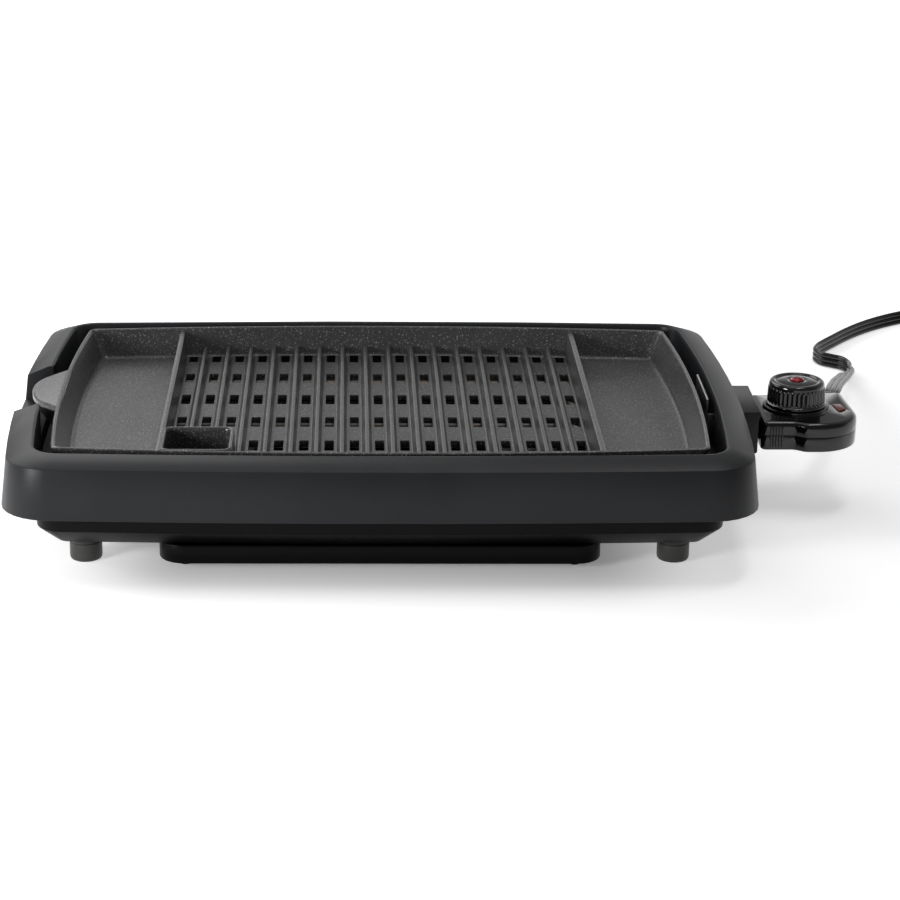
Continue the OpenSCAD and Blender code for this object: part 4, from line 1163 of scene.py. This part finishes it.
class GRILL_OT_stage(bpy.types.Operator):
    """Sets up the camera, the lamps, the floor and the world."""

    bl_idname = "grill.stage"
    bl_label = "Stage"

    def execute(self, context):
        scene = context.scene
        self.camera(scene)
        self.floor(scene)
        self.lamps(scene)
        self.world(scene)
        scene.view_settings.view_transform = "Standard"
        return {"FINISHED"}

    def camera(self, scene):
        yaw, pitch, roll = (math.radians(v) for v in (CAMERA_YAW, CAMERA_PITCH, CAMERA_ROLL))
        level = Vector((math.sin(yaw), math.cos(yaw), 0))
        ahead = math.cos(pitch) * level - math.sin(pitch) * Vector((0, 0, 1))
        right = Vector((math.cos(yaw), -math.sin(yaw), 0))
        up = right.cross(ahead)
        right, up = (
            math.cos(roll) * right + math.sin(roll) * up,
            math.cos(roll) * up - math.sin(roll) * right,
        )
        data = bpy.data.cameras.new("camera")
        camera = bpy.data.objects.new("camera", data)
        scene.collection.objects.link(camera)
        turn = Matrix((right, up, -ahead)).transposed().to_4x4()
        camera.matrix_world = Matrix.Translation(CAMERA_PLACE) @ turn
        data.sensor_width, data.lens = CAMERA_SENSOR, CAMERA_LENS
        data.shift_x, data.shift_y = CAMERA_SHIFT
        data.clip_start, data.clip_end = 0.05, 60
        scene.camera = camera

    def floor(self, scene):
        stage = scene.grill_stage
        black, white = (0.0, 0.0, 0.0), (1.0, 1.0, 1.0)
        g = Graph("floor")
        path = g.node("ShaderNodeLightPath")
        camera, passed, mirrored = (
            Value(g, path.outputs[name])
            for name in ("Is Camera Ray", "Is Transmission Ray", "Is Glossy Ray")
        )
        direct = camera.max(passed)
        seen = direct.max(mirrored)
        colour = g.mix(seen, (0.45, 0.45, 0.45), white)
        shade = g.node("ShaderNodeBsdfDiffuse", None, {"Color": colour})
        where, x, y, _ = g.place()
        # painted shadow: dark under the object, pale around it with a little painted grey to the
        # right, and white far away
        beside = (abs(x - SHADOW_PATCH_X) - SHADOW_PATCH_HALF).max(0.0)
        before = (abs(y) - SHADOW_PATCH_HALF).max(0.0)
        around = g.math("SQRT", beside * beside + before * before).step(0.0, SHADOW_PATCH_FADE)
        painted_right_shadow = SHADOW_SLOPE * x.min(SHADOW_SLOPE_REACH).max(-SHADOW_SLOPE_REACH)
        # painted shadow: the added light near the grill, low under it and lower toward the right
        near = stage.under + (stage.floor - stage.under - painted_right_shadow) * around
        far = g.length(where).step(FLOOR_WHITE_FROM, FLOOR_WHITE_AT)
        # the far floor is white only where it is seen directly, so that no piece mirrors it
        added = (seen * near).max(direct * (near + (1.0 - near) * far))
        lift = g.node("ShaderNodeEmission", None, {"Color": g.mix(added, black, white)})
        both = g.node("ShaderNodeAddShader", None, {0: shade.outputs[0], 1: lift.outputs[0]})
        g.tree.links.new(both.outputs[0], g.output.inputs["Surface"])
        mesh = bpy.data.meshes.new("floor")
        mesh.from_pydata([(-9, -9, 0), (9, -9, 0), (9, 9, 0), (-9, 9, 0)], [], [(0, 1, 2, 3)])
        floor = bpy.data.objects.new("floor", mesh)
        mesh.materials.append(g.material)
        scene.collection.objects.link(floor)

    def lamps(self, scene):
        stage = scene.grill_stage
        # name, place, what it points at and size in metres, and power in watts
        for name, place, target, size, power in (
            ("key", (-0.9, 1.2, 1.3), (0, 0, 0.05), (1.7, 1.2), stage.key),
            ("top", (0.0, 0.1, 1.75), (0.05, 0, 0.05), (1.6, 1.1), stage.top),
            ("side", (-1.8, 0.45, 0.6), (-0.1, 0, 0.06), (0.7, 0.5), stage.side),
            ("front", (-1.1, -0.9, 0.35), (-0.15, -0.1, 0.06), (0.4, 0.3), stage.front),
            ("glint", (0.35, -0.1, 1.2), (0.15, 0, 0.06), (0.7, 0.12), stage.glint),
        ):
            data = bpy.data.lights.new(name, "AREA")
            data.shape, data.size, data.size_y, data.energy = "RECTANGLE", *size, power
            lamp = bpy.data.objects.new(name, data)
            scene.collection.objects.link(lamp)
            turn = (Vector(target) - Vector(place)).to_track_quat("-Z", "Y")
            lamp.matrix_world = Matrix.Translation(place) @ turn.to_matrix().to_4x4()

    def world(self, scene):
        world = bpy.data.worlds.new("world")
        world.use_nodes = True
        tree = world.node_tree
        tree.nodes.clear()
        out = tree.nodes.new("ShaderNodeOutputWorld")
        back = tree.nodes.new("ShaderNodeBackground")
        path = tree.nodes.new("ShaderNodeLightPath")
        way = tree.nodes.new("ShaderNodeTexCoord")
        split = tree.nodes.new("ShaderNodeSeparateXYZ")
        tree.links.new(way.outputs["Generated"], split.inputs[0])

        def ramp(axis, low, high, start, end):
            """From start to end as the ray's direction goes from low to high along an axis."""
            node = tree.nodes.new("ShaderNodeMapRange")
            node.interpolation_type = "SMOOTHSTEP"
            values = {"From Min": low, "From Max": high, "To Min": start, "To Max": end}
            for name, value in values.items():
                node.inputs[name].default_value = value
            tree.links.new(split.outputs[axis], node.inputs["Value"])
            return node.outputs[0]

        def joined(operation, a, b):
            node = tree.nodes.new("ShaderNodeMath")
            node.operation = operation
            for socket, value in zip(node.inputs, (a, b)):
                if isinstance(value, float):
                    socket.default_value = value
                else:
                    tree.links.new(value, socket)
            return node.outputs[0]

        # in reflections the studio is white low down behind the object, and dim above, at the left
        # and in front
        behind, low_down = ramp(1, -0.35, 0.25, 0.25, 1.0), ramp(2, 0.1, 0.4, 1.0, 0.3)
        right = ramp(0, -0.6, -0.15, 0.1, 1.0)
        white = joined("MULTIPLY", right, joined("MULTIPLY", behind, low_down))
        camera, passed, glossy = (
            path.outputs[name] for name in ("Is Camera Ray", "Is Transmission Ray", "Is Glossy Ray")
        )
        mirrored, direct = joined("MULTIPLY", glossy, white), joined("MAXIMUM", camera, passed)
        strength = joined("MAXIMUM", joined("MAXIMUM", mirrored, direct), scene.grill_stage.fill)
        tree.links.new(strength, back.inputs["Strength"])
        back.inputs["Color"].default_value = (1, 1, 1, 1)
        tree.links.new(back.outputs[0], out.inputs["Surface"])
        scene.world = world


class GRILL_PT_sidebar(bpy.types.Panel):
    """Settings and build steps of the grill."""

    bl_idname = "GRILL_PT_sidebar"
    bl_label = "Electric tabletop grill"
    bl_space_type = "VIEW_3D"
    bl_region_type = "UI"
    bl_category = "Grill"

    def draw(self, context):
        for group in (context.scene.grill_looks, context.scene.grill_stage):
            box = self.layout.box()
            for name in group.__annotations__:
                box.prop(group, name)
        for step in STEPS:
            self.layout.operator(step.bl_idname)


GROUPS = (GrillLooks, GrillStage)
STEPS = (
    GRILL_OT_stage, GRILL_OT_cord, GRILL_OT_housing, GRILL_OT_plate, GRILL_OT_tray,
    GRILL_OT_metalwork, GRILL_OT_control, GRILL_OT_carried,
)


def register():
    for group in (*GROUPS, *STEPS, GRILL_PT_sidebar):
        bpy.utils.register_class(group)
    bpy.types.Scene.grill_looks = bpy.props.PointerProperty(type=GrillLooks)
    bpy.types.Scene.grill_stage = bpy.props.PointerProperty(type=GrillStage)


def unregister():
    del bpy.types.Scene.grill_stage
    del bpy.types.Scene.grill_looks
    for group in (GRILL_PT_sidebar, *reversed(STEPS), *reversed(GROUPS)):
        bpy.utils.unregister_class(group)


def main():
    register()
    for step in STEPS:
        area, name = step.bl_idname.split(".")
        if getattr(getattr(bpy.ops, area), name)() != {"FINISHED"}:
            raise RuntimeError(step.bl_label + " didn't finish")


if __name__ == "__main__":
    main()
